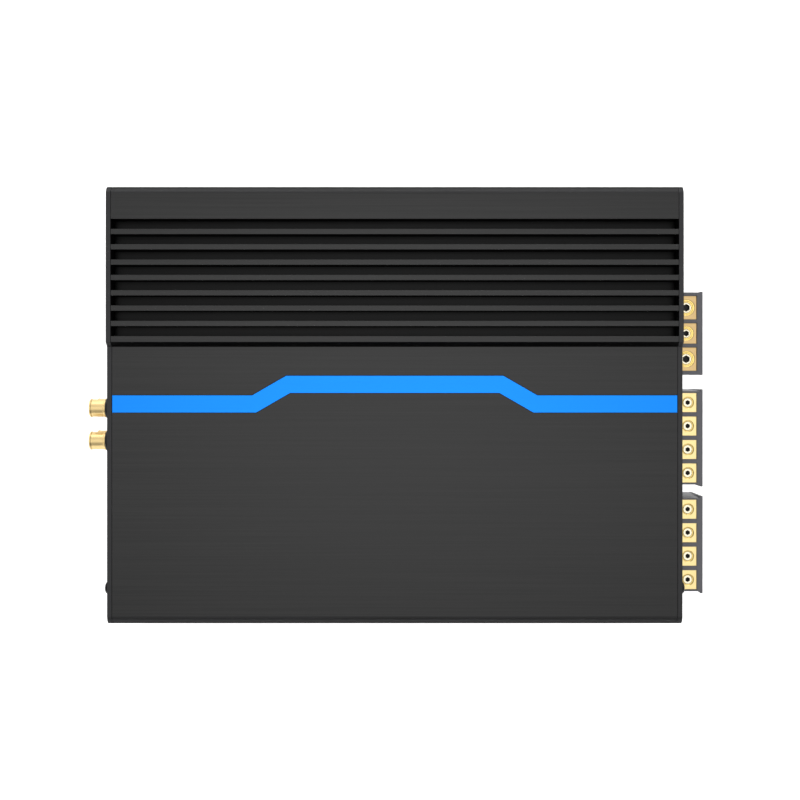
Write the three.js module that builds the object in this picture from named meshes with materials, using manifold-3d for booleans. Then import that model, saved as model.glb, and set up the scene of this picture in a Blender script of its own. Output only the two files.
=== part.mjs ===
// A four-channel car amplifier. The case is an aluminium extrusion with a finned heat sink along one side,
// closed by a bottom plate and two end panels. The inputs and controls are on the -X end. The supply
// terminals, the loudspeaker terminals and the fuses are on the +X end.
//
// Millimetres. +X runs along the case from the input end to the output end, +Y towards the fins and +Z up.
// The origin is the middle of the underside.
import * as THREE from 'three';
import { mergeVertices } from 'three/addons/utils/BufferGeometryUtils.js';
import Module from 'manifold-3d';

const wasm = await Module();
wasm.setup();

// ------------------------------------------------------------------ driving dimensions: case
const CASE_LENGTH = 264;
const CASE_WIDTH = 201;
const FLAT_HEIGHT = 47.4; // top of the plain panel
const FIN_RISE = 2.6; // the finned side stands this much above the plain panel
const STEP_RUN = 2.1; // width of the sloping step between the two
const EDGE_RADIUS = 4;
const SIDE_WALL = 3;
const TOP_WALL = 3;
const END_PANEL_THICKNESS = 2.1;
const BOTTOM_PLATE_THICKNESS = 1.5;
const SEAM = 0.3; // gap between the parts of the case

// heat sink fins, counted from the +Y edge
const FIN_MARGIN = 15.15; // flat land between the +Y edge and the first channel
const CHANNEL_COUNT = 8;
const CHANNEL_WIDTH = 4.5;
const CHANNEL_DEPTH = 8.5;
const FIN_WIDTH = 2.5;
const LAST_FIN_WIDTH = 2.7;

// accent stripe, laid in a shallow groove in the plain panel
const STRIPE_WIDTH = 7.9;
const STRIPE_THICKNESS = 0.6;
const STRIPE_FROM_STEP = 13.3; // plain panel between the step and the raised middle of the stripe
const STRIPE_RISE = 9; // the middle of the stripe lies this much nearer the fins
const STRIPE_BEND_OUTER = 65.4; // where the upper edge leaves the ends of the stripe
const STRIPE_BEND_INNER = 49.8; // where it reaches the middle
const STRIPE_BEND_SHIFT = 1.8; // the lower edge bends this much nearer the middle
const STRIPE_CLEARANCE = 0.1;

// ledges and bosses inside the extrusion that the screws go into
const LEDGE = 8;
const BOSS_WIDTH = 9;
const BOSS_DEPTH = 8;
const BOSS_FROM_EDGE = 16; // centre of each top boss from the side of the case
const BOSS_SCREW_DROP = 3.4; // screw centre below the inner face of the top wall

// ------------------------------------------------------------------ driving dimensions: screws
const SCREW_SHANK_RADIUS = 1.5;
const SCREW_LENGTH = 10;
const SCREW_HEAD_RADIUS = 2.9;
const SCREW_HEAD_HEIGHT = 2.2;
const SCREW_HEAD_EDGE = 0.66; // straight edge of the head under its dome
const SCREW_RECESS_SPAN = 3.2;
const SCREW_RECESS_WIDTH = 0.8;
const SCREW_RECESS_DEPTH = 1.3;
const SCREW_CLEARANCE = 0.3;
const PLATE_SCREW_INSET = 22; // first plate screw from the end of the case
const PLATE_SCREW_PER_SIDE = 3;
const PLATE_SCREW_HEAD_RADIUS = 2.9;

// ------------------------------------------------------------------ driving dimensions: circuit board
const BOARD_BOTTOM = 7;
const BOARD_THICKNESS = 1.6;
const BOARD_CLEARANCE = 0.6;
const SEAT_GAP = 0.2; // what stands on the board stands this much clear of it

// ------------------------------------------------------------------ driving dimensions: terminals
const TERMINAL_TOP = 36;
const TERMINAL_HEIGHT = 22;
const TERMINAL_REACH = 12.1; // how far the housings stand out of the output panel
const TERMINAL_DEPTH_INSIDE = 12;
const TERMINAL_WINDOW_CLEARANCE = 0.3;
const FRONT_WALL = 2.6;
const CELL_CLEARANCE = 0.2;
const CONTACT_RECESS = 0.8; // top of the contacts below the top of the housing
const CONTACT_HEIGHT = 15;
const CONTACT_INSET = 0; // the contacts start this far inside the panel's outer face
const CONTACT_BORE_DROP = 5.8; // top of the wire bore below the top of the contact
const SPEAKER_MARGIN = 12.4; // rear loudspeaker block from the -Y side of the case
// The three gaps along the output panel take up what the blocks and the fuse holder leave, in these
// proportions: between the loudspeaker blocks, from there to the supply block, and on to the fuse holder.
const OUTPUT_GAPS = [4.4, 6.6, 6];
const SPEAKER_CONTACT_COUNT = 4; // in each block
const SPEAKER_CONTACT_WIDTH = 9.2;
const SPEAKER_DIVIDER = 1.4;
const SPEAKER_END_WALL = 1.5;
const SPEAKER_WIRE_WIDTH = 5.4;
const SPEAKER_WIRE_HEIGHT = 5.6;
const SPEAKER_SCREW_RADIUS = 2.1;
const SPEAKER_HEX = 1.9; // across the flats of the socket
const SPEAKER_COUNTERSINK = 2.8;
const SPEAKER_SCREW_FORWARD = 0.7; // these set screws sit nearer the front than the middle of their contacts
const POWER_DIVIDER = 1.15;
const POWER_END_WALL = 1.65;
const POWER_CONTACT_WIDTH = 11.2;
const REMOTE_CONTACT_WIDTH = 9.8;
const POWER_WIRE_WIDTH = 7.6;
const REMOTE_WIRE_WIDTH = 6;
const POWER_WIRE_HEIGHT = 7.2;
const POWER_SCREW_RADIUS = 2.45;
const POWER_HEX = 3;
const POWER_COUNTERSINK = 3.9;
const REMOTE_SCREW_RADIUS = 2;
const REMOTE_HEX = 2.3;
const REMOTE_COUNTERSINK = 3.5;
const SET_SCREW_LENGTH = 4.6;
const SET_SCREW_RECESS = 0.5; // top of the set screws below the top of the contact
const SET_SCREW_CLEARANCE = 0.1;
const SET_SCREW_CHAMFER = 0.5;
const HEX_DEPTH = 2.2;

// ------------------------------------------------------------------ driving dimensions: phono jacks
const JACK_CENTRE_Y = -9.15; // middle of the jack block
const JACK_PITCH_Y = 15.4;
const JACK_PITCH_Z = 14.5;
const JACK_LOW_LIFT = 7.2; // centres of the lower jacks above the board's seat
const JACK_SHELL_RADIUS = 4.15;
const JACK_SHELL_WALL = 0.6;
const JACK_REACH = 11.8; // front of the shells from the input panel's outer face
const JACK_COLLAR_WALL = 0.7;
const JACK_COLLAR_REACH = 3.95;
const JACK_SEAT_DEPTH = 2; // the shells go this far into their collars
const JACK_FLANGE_PROUD = 0.25; // flange and rim stand this much out of the sleeve
const JACK_FLANGE_LENGTH = 0.8;
const JACK_RIM_PROUD = 0.2;
const JACK_RIM_CORNER = 0.2;
const JACK_RIM_LENGTH = 1;
const JACK_INSULATOR_RECESS = 1.4;
const JACK_PIN_BORE = 1.6;
const JACK_BODY_DEPTH = 11;
const JACK_BODY_MARGIN = 7; // jack body outside the jacks' centres
const JACK_CLEARANCE = 0.15;

// ------------------------------------------------------------------ driving dimensions: controls
const CONTROL_Z = 22;
const CONTROL_BOARD_DEPTH = 18; // front of the control board behind the input panel's outer face
const CONTROL_BOARD_THICKNESS = 1.6;
const CONTROL_BOARD_TOP = 33;
const CONTROL_BOARD_END = 8; // board beyond the outermost control
const KNOB_RADIUS = 4.5;
const KNOB_REACH = 3.4;
const KNOB_LENGTH = 4.6;
const KNOB_FLUTES = 12;
const KNOB_STEPS = 4; // points on each flute
const KNOB_FLUTE_DEPTH = 0.35;
const KNOB_SLOT_WIDTH = 1;
const KNOB_SLOT_DEPTH = 1.2;
const KNOB_CLEARANCE = 0.4;
const SHAFT_RADIUS = 3;
const SHAFT_CLEARANCE = 0.1;
const POT_RADIUS = 5.6;
const POT_LENGTH = 6.5;
const SHAFT_IN_POT = 5;
const CONTROL_PITCH = 14;
const FRONT_CONTROLS_Y = 18; // first control on the +Y side of the jacks
const REAR_CONTROLS_Y = -34; // first control on the -Y side of the jacks
const SWITCH_TRAVEL = 5; // end to end
const SWITCH_CAP_WIDTH = 4;
const SWITCH_CAP_HEIGHT = 3.4;
const SWITCH_CAP_REACH = 1.8;
const SWITCH_SLOT_CLEARANCE = 0.4;
const SWITCH_BODY_DEPTH = 7;
const SWITCH_BODY_MARGIN = 2;
const SWITCH_TONGUE_DEPTH = 4;
const LED_RADIUS = 1.5;
const LED_REACH = 1.2;
const LED_LENGTH = 6;
const LED_CLEARANCE = 0.15;

// ------------------------------------------------------------------ driving dimensions: input socket
const SOCKET_WIDTH = 18;
const SOCKET_HEIGHT = 10;
const SOCKET_DEPTH = 14;
const SOCKET_REACH = 0.6;
const SOCKET_WALL = 1.4;
const SOCKET_CAVITY_DEPTH = 9;

// ------------------------------------------------------------------ driving dimensions: fuses
const FUSE_COUNT = 2;
const FUSE_PITCH = 10;
const FUSE_WIDTH = 19; // across the two blades, upright here
const FUSE_THICKNESS = 5.1;
const FUSE_BODY = 11.5;
const FUSE_REACH = 5; // fuse bodies proud of the output panel
const FUSE_BLADE_WIDTH = 5.2;
const FUSE_BLADE_THICKNESS = 0.7;
const FUSE_BLADE_LENGTH = 7;
const FUSE_BLADE_SPREAD = 11.4; // between the middles of the two blades
const FUSE_LIFT = 0.6; // fuse bodies above the board
const FUSE_SHOULDER = 5.2; // length of the full-thickness front of a fuse body
const FUSE_WAIST = 0.9; // the faces behind it are cut back by this much
const FUSE_WAIST_WIDTH = 11.8;
const FUSE_MARGIN = 21.3; // fuse holder from the +Y side of the case
const FUSE_HOLDER_MARGIN = 2.5;
const FUSE_HOLDER_DEPTH = 8.5;
const FUSE_CLEARANCE = 0.3;

// ------------------------------------------------------------------ driving dimensions: inside
const TOROID_RADIUS = 21;
const TOROID_HOLE_RADIUS = 8;
const TOROID_HEIGHT = 22;
const TOROID_CORNER = 5;
const TOROID_PLACE = [60, -20];
const CAPACITOR_RADIUS = 11;
const CAPACITOR_HEIGHT = 30;
const CAPACITOR_GAP = 4;
const CAPACITOR_GROOVE = 1.2;
const CAPACITOR_GROOVE_Z = 3;
const CAPACITOR_PLACE = [-10, -45]; // the first one
const CAPACITOR_COUNT = 2;
const TRANSISTOR_COUNT = 8;
const TRANSISTOR_PITCH = 22;
const TRANSISTOR_WIDTH = 15.6;
const TRANSISTOR_THICKNESS = 4.6;
const TRANSISTOR_HEIGHT = 20;
const CLAMP_BAR_THICKNESS = 3;
const CLAMP_BAR_HEIGHT = 8;

// ------------------------------------------------------------------ places worked out from the above
const PANEL_FACE = CASE_LENGTH / 2;
const PANEL_BACK = PANEL_FACE - END_PANEL_THICKNESS;
const EXTRUSION_END = PANEL_BACK - SEAM;
const SIDE = CASE_WIDTH / 2;
const INNER_SIDE = SIDE - SIDE_WALL;
const FIN_HEIGHT = FLAT_HEIGHT + FIN_RISE;
const CHANNEL_PITCH = CHANNEL_WIDTH + FIN_WIDTH;
const FIRST_CHANNEL = SIDE - FIN_MARGIN;
const LAST_CHANNEL_END = FIRST_CHANNEL - CHANNEL_COUNT * CHANNEL_PITCH + FIN_WIDTH;
const STEP_TOP_Y = LAST_CHANNEL_END - LAST_FIN_WIDTH;
const STEP_BOTTOM_Y = STEP_TOP_Y - STEP_RUN;
const INNER_TOP_FLAT = FLAT_HEIGHT - TOP_WALL;
const INNER_TOP_FINS = FIN_HEIGHT - CHANNEL_DEPTH - TOP_WALL;
const LEDGE_BOTTOM = BOTTOM_PLATE_THICKNESS + SEAM;
const LEDGE_TOP = LEDGE_BOTTOM + LEDGE;
const LEDGE_CENTRE = INNER_SIDE - LEDGE / 2;
const BOARD_TOP = BOARD_BOTTOM + BOARD_THICKNESS;
const BOARD_SEAT = BOARD_TOP + SEAT_GAP;
const BOARD_HALF_WIDTH = INNER_SIDE - LEDGE - BOARD_CLEARANCE;

const TERMINAL_BOTTOM = TERMINAL_TOP - TERMINAL_HEIGHT;
const CONTACT_TOP = TERMINAL_TOP - CONTACT_RECESS;
const CONTACT_BOTTOM = CONTACT_TOP - CONTACT_HEIGHT;
const CONTACT_END = TERMINAL_REACH - FRONT_WALL - CELL_CLEARANCE;
const CONTACT_MIDDLE = (CONTACT_END - CONTACT_INSET) / 2;
const SPEAKER_PITCH = SPEAKER_CONTACT_WIDTH + 2 * CELL_CLEARANCE + SPEAKER_DIVIDER;
const SPEAKER_SPAN = (SPEAKER_CONTACT_COUNT - 1) * SPEAKER_PITCH + SPEAKER_CONTACT_WIDTH;
const SPEAKER_BLOCK_WIDTH = SPEAKER_SPAN + 2 * (CELL_CLEARANCE + SPEAKER_END_WALL);
const POWER_PITCH = (POWER_CONTACT_WIDTH + REMOTE_CONTACT_WIDTH) / 2 + 2 * CELL_CLEARANCE + POWER_DIVIDER;
const POWER_SPAN = 2 * POWER_PITCH + POWER_CONTACT_WIDTH;
const POWER_BLOCK_WIDTH = POWER_SPAN + 2 * (CELL_CLEARANCE + POWER_END_WALL);
const WIRE_TOP = CONTACT_TOP - CONTACT_BORE_DROP;
const FUSE_HOLDER_WIDTH = (FUSE_COUNT - 1) * FUSE_PITCH + FUSE_THICKNESS + 2 * FUSE_HOLDER_MARGIN;
const OUTPUT_ROW = CASE_WIDTH - SPEAKER_MARGIN - FUSE_MARGIN;
const OUTPUT_SPARE = OUTPUT_ROW - 2 * SPEAKER_BLOCK_WIDTH - POWER_BLOCK_WIDTH - FUSE_HOLDER_WIDTH;
const GAP_SCALE = OUTPUT_SPARE / OUTPUT_GAPS.reduce((sum, gap) => sum + gap, 0);
const [SPEAKER_BLOCK_GAP, POWER_BLOCK_GAP] = OUTPUT_GAPS.map((gap) => gap * GAP_SCALE);
const REAR_SPEAKER_Y = -SIDE + SPEAKER_MARGIN + SPEAKER_BLOCK_WIDTH / 2;
const FRONT_SPEAKER_Y = REAR_SPEAKER_Y + SPEAKER_BLOCK_WIDTH + SPEAKER_BLOCK_GAP;
const POWER_Y = FRONT_SPEAKER_Y + (SPEAKER_BLOCK_WIDTH + POWER_BLOCK_WIDTH) / 2 + POWER_BLOCK_GAP;

const JACK_LOW_Z = BOARD_SEAT + JACK_LOW_LIFT;
const JACK_COLLAR_RADIUS = JACK_SHELL_RADIUS + JACK_CLEARANCE + JACK_COLLAR_WALL;

const KNOB_FRONT_Y = [FRONT_CONTROLS_Y, FRONT_CONTROLS_Y + 2 * CONTROL_PITCH];
const KNOB_REAR_Y = [REAR_CONTROLS_Y, REAR_CONTROLS_Y - 2 * CONTROL_PITCH];
const SWITCH_FRONT_Y = FRONT_CONTROLS_Y + CONTROL_PITCH;
const SWITCH_REAR_Y = REAR_CONTROLS_Y - CONTROL_PITCH;
const LED_Y = REAR_CONTROLS_Y - 3 * CONTROL_PITCH;
const SOCKET_Y = KNOB_FRONT_Y[1] + CONTROL_PITCH / 2 + SOCKET_WIDTH / 2;

const FUSE_Y = SIDE - FUSE_MARGIN - FUSE_HOLDER_WIDTH / 2;
const FUSE_LOW_Z = BOARD_TOP + FUSE_LIFT;
const FUSE_Z = FUSE_LOW_Z + FUSE_WIDTH / 2;

// where the screws go into each end panel, as [y, z]
const END_SCREWS = [
  [-SIDE + BOSS_FROM_EDGE, INNER_TOP_FLAT - BOSS_SCREW_DROP],
  [SIDE - BOSS_FROM_EDGE, INNER_TOP_FINS - BOSS_SCREW_DROP],
  [-LEDGE_CENTRE, (LEDGE_BOTTOM + LEDGE_TOP) / 2],
  [LEDGE_CENTRE, (LEDGE_BOTTOM + LEDGE_TOP) / 2],
];

// ------------------------------------------------------------------ materials
function finish(colour, roughness, metalness) {
  return new THREE.MeshStandardMaterial({ color: colour, roughness, metalness });
}

const blackAnodised = finish('#3e3f42', 0.5, 0.7);
const blackSteel = finish('#232427', 0.55, 0.5);
const blueEnamel = finish('#1f8dfa', 0.4, 0);
const goldPlate = finish('#d8b46c', 0.25, 1);
const blackPlastic = finish('#1b1b1d', 0.5, 0);
const darkGreyPlastic = finish('#35363a', 0.35, 0);
const blackScrewSteel = finish('#1a1a1b', 0.4, 0.8);
const boardLaminate = finish('#1c4a2c', 0.5, 0);
const amberPlastic = finish('#e08a1e', 0.3, 0);
const blueLens = finish('#2f7fff', 0.15, 0);
const whitePlastic = finish('#e6e4dc', 0.5, 0);
const copperWinding = finish('#a8622e', 0.4, 0.8);
const sleeveBlue = finish('#23386b', 0.4, 0);
const bareAluminium = finish('#b6b8ba', 0.4, 1);

// ------------------------------------------------------------------ solids
const ROUND_SIDES = 16; // flats around a small round piece or hole
const JOIN = 0.5; // shapes that are joined into one solid run this far into each other

function toSolid(geometry) {
  const bare = geometry.clone();
  bare.deleteAttribute('normal');
  bare.deleteAttribute('uv');
  const merged = mergeVertices(bare, 1e-4);
  const vertProperties = new Float32Array(merged.attributes.position.array);
  const triVerts = new Uint32Array(merged.index.array);
  return new wasm.Manifold(new wasm.Mesh({ numProp: 3, vertProperties, triVerts }));
}

function toGeometry(solid) {
  const mesh = solid.getMesh();
  const geometry = new THREE.BufferGeometry();
  geometry.setAttribute('position', new THREE.BufferAttribute(mesh.vertProperties, 3));
  geometry.setIndex(new THREE.BufferAttribute(mesh.triVerts, 1));
  geometry.computeVertexNormals();
  return geometry;
}

// a box between two corners
function block([x0, x1], [y0, y1], [z0, z1]) {
  const geometry = new THREE.BoxGeometry(x1 - x0, y1 - y0, z1 - z0);
  geometry.translate((x0 + x1) / 2, (y0 + y1) / 2, (z0 + z1) / 2);
  return toSolid(geometry);
}

// a span of a given width about a middle
function about(middle, width) {
  return [middle - width / 2, middle + width / 2];
}

// a rod or cone along X between x0 and x1
function rodX([x0, x1], y, z, radius0, radius1 = radius0, sides = ROUND_SIDES) {
  const geometry = new THREE.CylinderGeometry(radius1, radius0, x1 - x0, sides);
  geometry.rotateZ(-Math.PI / 2);
  geometry.translate((x0 + x1) / 2, y, z);
  return toSolid(geometry);
}

// a rod or cone along Z between z0 and z1
function rodZ(x, y, [z0, z1], radius0, radius1 = radius0, sides = ROUND_SIDES) {
  const geometry = new THREE.CylinderGeometry(radius1, radius0, z1 - z0, sides);
  geometry.rotateX(Math.PI / 2);
  geometry.translate(x, y, (z0 + z1) / 2);
  return toSolid(geometry);
}

// a flat outline drawn in Y and Z, drawn out along X
function prismX(shape, [x0, x1], curveSegments = 5) {
  const geometry = new THREE.ExtrudeGeometry(shape, { depth: x1 - x0, bevelEnabled: false, curveSegments });
  const alongX = new THREE.Matrix4().makeBasis(
    new THREE.Vector3(0, 1, 0),
    new THREE.Vector3(0, 0, 1),
    new THREE.Vector3(1, 0, 0),
  );
  geometry.applyMatrix4(alongX);
  geometry.translate(x0, 0, 0);
  return toSolid(geometry);
}

// a flat outline drawn in X and Y, drawn up along Z
function prismZ(shape, [z0, z1]) {
  const geometry = new THREE.ExtrudeGeometry(shape, { depth: z1 - z0, bevelEnabled: false });
  geometry.translate(0, 0, z0);
  return toSolid(geometry);
}

// a turned piece about the X axis, from [radius, x] points that go from low x to high x
function turnedX(points, sides = ROUND_SIDES) {
  const profile = points.map(([radius, x]) => new THREE.Vector2(radius, x));
  const geometry = new THREE.LatheGeometry(profile, sides);
  geometry.rotateZ(-Math.PI / 2);
  return toSolid(geometry);
}

// a countersunk hole along Z: a straight hole between z0 and z1 that opens to sinkRadius at sinkZ
function sunkHoleZ(x, y, [z0, z1], radius, sinkRadius, sinkZ) {
  const up = sinkZ > (z0 + z1) / 2 ? 1 : -1;
  const mouth = sinkRadius + 1;
  const start = up === 1 ? z0 : z1;
  const points = [
    [0, start],
    [radius, start],
    [radius, sinkZ - up * (sinkRadius - radius)],
    [mouth, sinkZ + up],
    [0, sinkZ + up],
  ];
  const ordered = up === 1 ? points : points.reverse();
  const geometry = new THREE.LatheGeometry(ordered.map(([r, z]) => new THREE.Vector2(r, z)), ROUND_SIDES);
  geometry.rotateX(Math.PI / 2);
  geometry.translate(x, y, 0);
  return toSolid(geometry);
}

function piece(parent, name, solid, material, position = [0, 0, 0]) {
  const mesh = new THREE.Mesh(toGeometry(solid), material);
  mesh.name = name;
  mesh.position.set(...position);
  parent.add(mesh);
}

// ------------------------------------------------------------------ case
// the outside of the case from the -Y foot over the top to the +Y foot, without the channels
function startOutline() {
  const shape = new THREE.Shape();
  shape.moveTo(-SIDE, 0);
  shape.lineTo(-SIDE, FLAT_HEIGHT - EDGE_RADIUS);
  shape.absarc(-SIDE + EDGE_RADIUS, FLAT_HEIGHT - EDGE_RADIUS, EDGE_RADIUS, Math.PI, Math.PI / 2, true);
  shape.lineTo(STEP_BOTTOM_Y, FLAT_HEIGHT);
  shape.lineTo(STEP_TOP_Y, FIN_HEIGHT);
  return shape;
}

function endOutline(shape) {
  shape.lineTo(SIDE - EDGE_RADIUS, FIN_HEIGHT);
  shape.absarc(SIDE - EDGE_RADIUS, FIN_HEIGHT - EDGE_RADIUS, EDGE_RADIUS, Math.PI / 2, 0, true);
  shape.lineTo(SIDE, 0);
}

function cutChannels(shape) {
  const floor = FIN_HEIGHT - CHANNEL_DEPTH;
  for (let i = CHANNEL_COUNT - 1; i >= 0; i -= 1) {
    const far = FIRST_CHANNEL - i * CHANNEL_PITCH;
    const near = far - CHANNEL_WIDTH;
    shape.lineTo(near, FIN_HEIGHT);
    shape.lineTo(near, floor);
    shape.lineTo(far, floor);
    shape.lineTo(far, FIN_HEIGHT);
  }
}

// the inside of the extrusion, from the +Y foot back to the -Y foot
function insideOutline(shape) {
  const [flatBoss, finBoss] = [-SIDE + BOSS_FROM_EDGE, SIDE - BOSS_FROM_EDGE];
  const slopeEnd = STEP_BOTTOM_Y - TOP_WALL;
  shape.lineTo(INNER_SIDE, 0);
  shape.lineTo(INNER_SIDE, LEDGE_BOTTOM);
  shape.lineTo(INNER_SIDE - LEDGE, LEDGE_BOTTOM);
  shape.lineTo(INNER_SIDE - LEDGE, LEDGE_TOP);
  shape.lineTo(INNER_SIDE, LEDGE_TOP);
  shape.lineTo(INNER_SIDE, INNER_TOP_FINS);
  shape.lineTo(finBoss + BOSS_WIDTH / 2, INNER_TOP_FINS);
  shape.lineTo(finBoss + BOSS_WIDTH / 2, INNER_TOP_FINS - BOSS_DEPTH);
  shape.lineTo(finBoss - BOSS_WIDTH / 2, INNER_TOP_FINS - BOSS_DEPTH);
  shape.lineTo(finBoss - BOSS_WIDTH / 2, INNER_TOP_FINS);
  shape.lineTo(slopeEnd, INNER_TOP_FINS);
  shape.lineTo(slopeEnd - (INNER_TOP_FLAT - INNER_TOP_FINS), INNER_TOP_FLAT);
  shape.lineTo(flatBoss + BOSS_WIDTH / 2, INNER_TOP_FLAT);
  shape.lineTo(flatBoss + BOSS_WIDTH / 2, INNER_TOP_FLAT - BOSS_DEPTH);
  shape.lineTo(flatBoss - BOSS_WIDTH / 2, INNER_TOP_FLAT - BOSS_DEPTH);
  shape.lineTo(flatBoss - BOSS_WIDTH / 2, INNER_TOP_FLAT);
  shape.lineTo(-INNER_SIDE, INNER_TOP_FLAT);
  shape.lineTo(-INNER_SIDE, LEDGE_TOP);
  shape.lineTo(-INNER_SIDE + LEDGE, LEDGE_TOP);
  shape.lineTo(-INNER_SIDE + LEDGE, LEDGE_BOTTOM);
  shape.lineTo(-INNER_SIDE, LEDGE_BOTTOM);
  shape.lineTo(-INNER_SIDE, 0);
}

// the stripe seen from above, grown by a margin on its long edges
function stripeOutline(halfLength, margin) {
  const middleTop = STEP_BOTTOM_Y - STRIPE_FROM_STEP + margin;
  const endTop = middleTop - STRIPE_RISE;
  const middleBottom = middleTop - STRIPE_WIDTH - 2 * margin;
  const endBottom = middleBottom - STRIPE_RISE;
  const outerLow = STRIPE_BEND_OUTER - STRIPE_BEND_SHIFT;
  const innerLow = STRIPE_BEND_INNER - STRIPE_BEND_SHIFT;
  const shape = new THREE.Shape();
  shape.moveTo(-halfLength, endBottom);
  shape.lineTo(-outerLow, endBottom);
  shape.lineTo(-innerLow, middleBottom);
  shape.lineTo(innerLow, middleBottom);
  shape.lineTo(outerLow, endBottom);
  shape.lineTo(halfLength, endBottom);
  shape.lineTo(halfLength, endTop);
  shape.lineTo(STRIPE_BEND_OUTER, endTop);
  shape.lineTo(STRIPE_BEND_INNER, middleTop);
  shape.lineTo(-STRIPE_BEND_INNER, middleTop);
  shape.lineTo(-STRIPE_BEND_OUTER, endTop);
  shape.lineTo(-halfLength, endTop);
  return shape;
}

// where the screws that hold the bottom plate go, as [x, y]
function plateScrews() {
  const reach = PANEL_FACE - PLATE_SCREW_INSET;
  const places = [];
  for (let i = 0; i < PLATE_SCREW_PER_SIDE; i += 1) {
    const x = -reach + (2 * reach * i) / (PLATE_SCREW_PER_SIDE - 1);
    places.push([x, -LEDGE_CENTRE], [x, LEDGE_CENTRE]);
  }
  return places;
}

function heatsinkExtrusion() {
  const shape = startOutline();
  cutChannels(shape);
  endOutline(shape);
  insideOutline(shape);
  let solid = prismX(shape, [-EXTRUSION_END, EXTRUSION_END]);
  const pilot = SCREW_SHANK_RADIUS + SCREW_CLEARANCE;
  const depth = SCREW_LENGTH + SCREW_CLEARANCE;
  for (const [y, z] of END_SCREWS) {
    solid = solid.subtract(rodX([EXTRUSION_END - depth, PANEL_FACE], y, z, pilot, pilot, 12));
    solid = solid.subtract(rodX([-PANEL_FACE, -EXTRUSION_END + depth], y, z, pilot, pilot, 12));
  }
  for (const [x, y] of plateScrews()) {
    solid = solid.subtract(rodZ(x, y, [0, LEDGE_TOP - 1], SCREW_SHANK_RADIUS, SCREW_SHANK_RADIUS, 12));
  }
  const grooveFloor = FLAT_HEIGHT - STRIPE_THICKNESS - STRIPE_CLEARANCE;
  const groove = prismZ(stripeOutline(PANEL_FACE, STRIPE_CLEARANCE), [grooveFloor, FIN_HEIGHT]);
  return solid.subtract(groove);
}

function accentStripe() {
  return prismZ(stripeOutline(EXTRUSION_END, 0), [FLAT_HEIGHT - STRIPE_THICKNESS, FLAT_HEIGHT]);
}

function bottomPlate() {
  const halfWidth = INNER_SIDE - SEAM;
  let solid = block([-EXTRUSION_END, EXTRUSION_END], [-halfWidth, halfWidth], [0, BOTTOM_PLATE_THICKNESS]);
  for (const [x, y] of plateScrews()) {
    const through = [-1, BOTTOM_PLATE_THICKNESS + 1];
    const hole = SCREW_SHANK_RADIUS + SCREW_CLEARANCE;
    solid = solid.subtract(sunkHoleZ(x, y, through, hole, PLATE_SCREW_HEAD_RADIUS, 0));
  }
  return solid;
}

// a plain end panel of the case's outline, lying between two x values, with its screw holes
function endPanel([x0, x1]) {
  const shape = startOutline();
  endOutline(shape);
  let solid = prismX(shape, [x0, x1]);
  for (const [y, z] of END_SCREWS) {
    solid = solid.subtract(rodX([x0 - 1, x1 + 1], y, z, SCREW_SHANK_RADIUS + SCREW_CLEARANCE));
  }
  return solid;
}

// a pan-head screw with a cross recess. Its head stands on x = 0 and its shank runs towards -X.
function panHeadScrew() {
  const dome = [[0, -SCREW_LENGTH], [SCREW_SHANK_RADIUS, -SCREW_LENGTH], [SCREW_SHANK_RADIUS, 0]];
  const steps = 4;
  for (let i = 0; i <= steps; i += 1) {
    const turn = (i / steps) * (Math.PI / 2);
    const radius = i === steps ? 0 : SCREW_HEAD_RADIUS * Math.sqrt(Math.cos(turn));
    const height = SCREW_HEAD_EDGE + (SCREW_HEAD_HEIGHT - SCREW_HEAD_EDGE) * Math.sin(turn);
    dome.push([radius, i === 0 ? SEAT_GAP : height]);
  }
  let solid = turnedX(dome);
  const recess = [SCREW_HEAD_HEIGHT - SCREW_RECESS_DEPTH, SCREW_HEAD_HEIGHT + 1];
  const span = about(0, SCREW_RECESS_SPAN);
  const width = about(0, SCREW_RECESS_WIDTH);
  solid = solid.subtract(block(recess, span, width));
  return solid.subtract(block(recess, width, span));
}

// ------------------------------------------------------------------ terminals
// A terminal block holds contacts side by side along Y. Its x counts from the output panel's outer face.
function speakerContacts() {
  const contacts = [];
  for (let i = 0; i < SPEAKER_CONTACT_COUNT; i += 1) {
    contacts.push({
      y: ((SPEAKER_CONTACT_COUNT - 1) / 2 - i) * SPEAKER_PITCH,
      width: SPEAKER_CONTACT_WIDTH,
      wireWidth: SPEAKER_WIRE_WIDTH,
      wireHeight: SPEAKER_WIRE_HEIGHT,
      screwRadius: SPEAKER_SCREW_RADIUS,
      hex: SPEAKER_HEX,
      countersink: SPEAKER_COUNTERSINK,
      screwX: CONTACT_MIDDLE + SPEAKER_SCREW_FORWARD,
    });
  }
  return contacts;
}

function powerContacts() {
  const outer = {
    width: POWER_CONTACT_WIDTH,
    wireWidth: POWER_WIRE_WIDTH,
    wireHeight: POWER_WIRE_HEIGHT,
    screwRadius: POWER_SCREW_RADIUS,
    hex: POWER_HEX,
    countersink: POWER_COUNTERSINK,
    screwX: CONTACT_MIDDLE,
  };
  const remote = {
    width: REMOTE_CONTACT_WIDTH,
    wireWidth: REMOTE_WIRE_WIDTH,
    wireHeight: POWER_WIRE_HEIGHT,
    screwRadius: REMOTE_SCREW_RADIUS,
    hex: REMOTE_HEX,
    countersink: REMOTE_COUNTERSINK,
    screwX: CONTACT_MIDDLE,
  };
  return [{ y: POWER_PITCH, ...outer }, { y: 0, ...remote }, { y: -POWER_PITCH, ...outer }];
}

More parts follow.
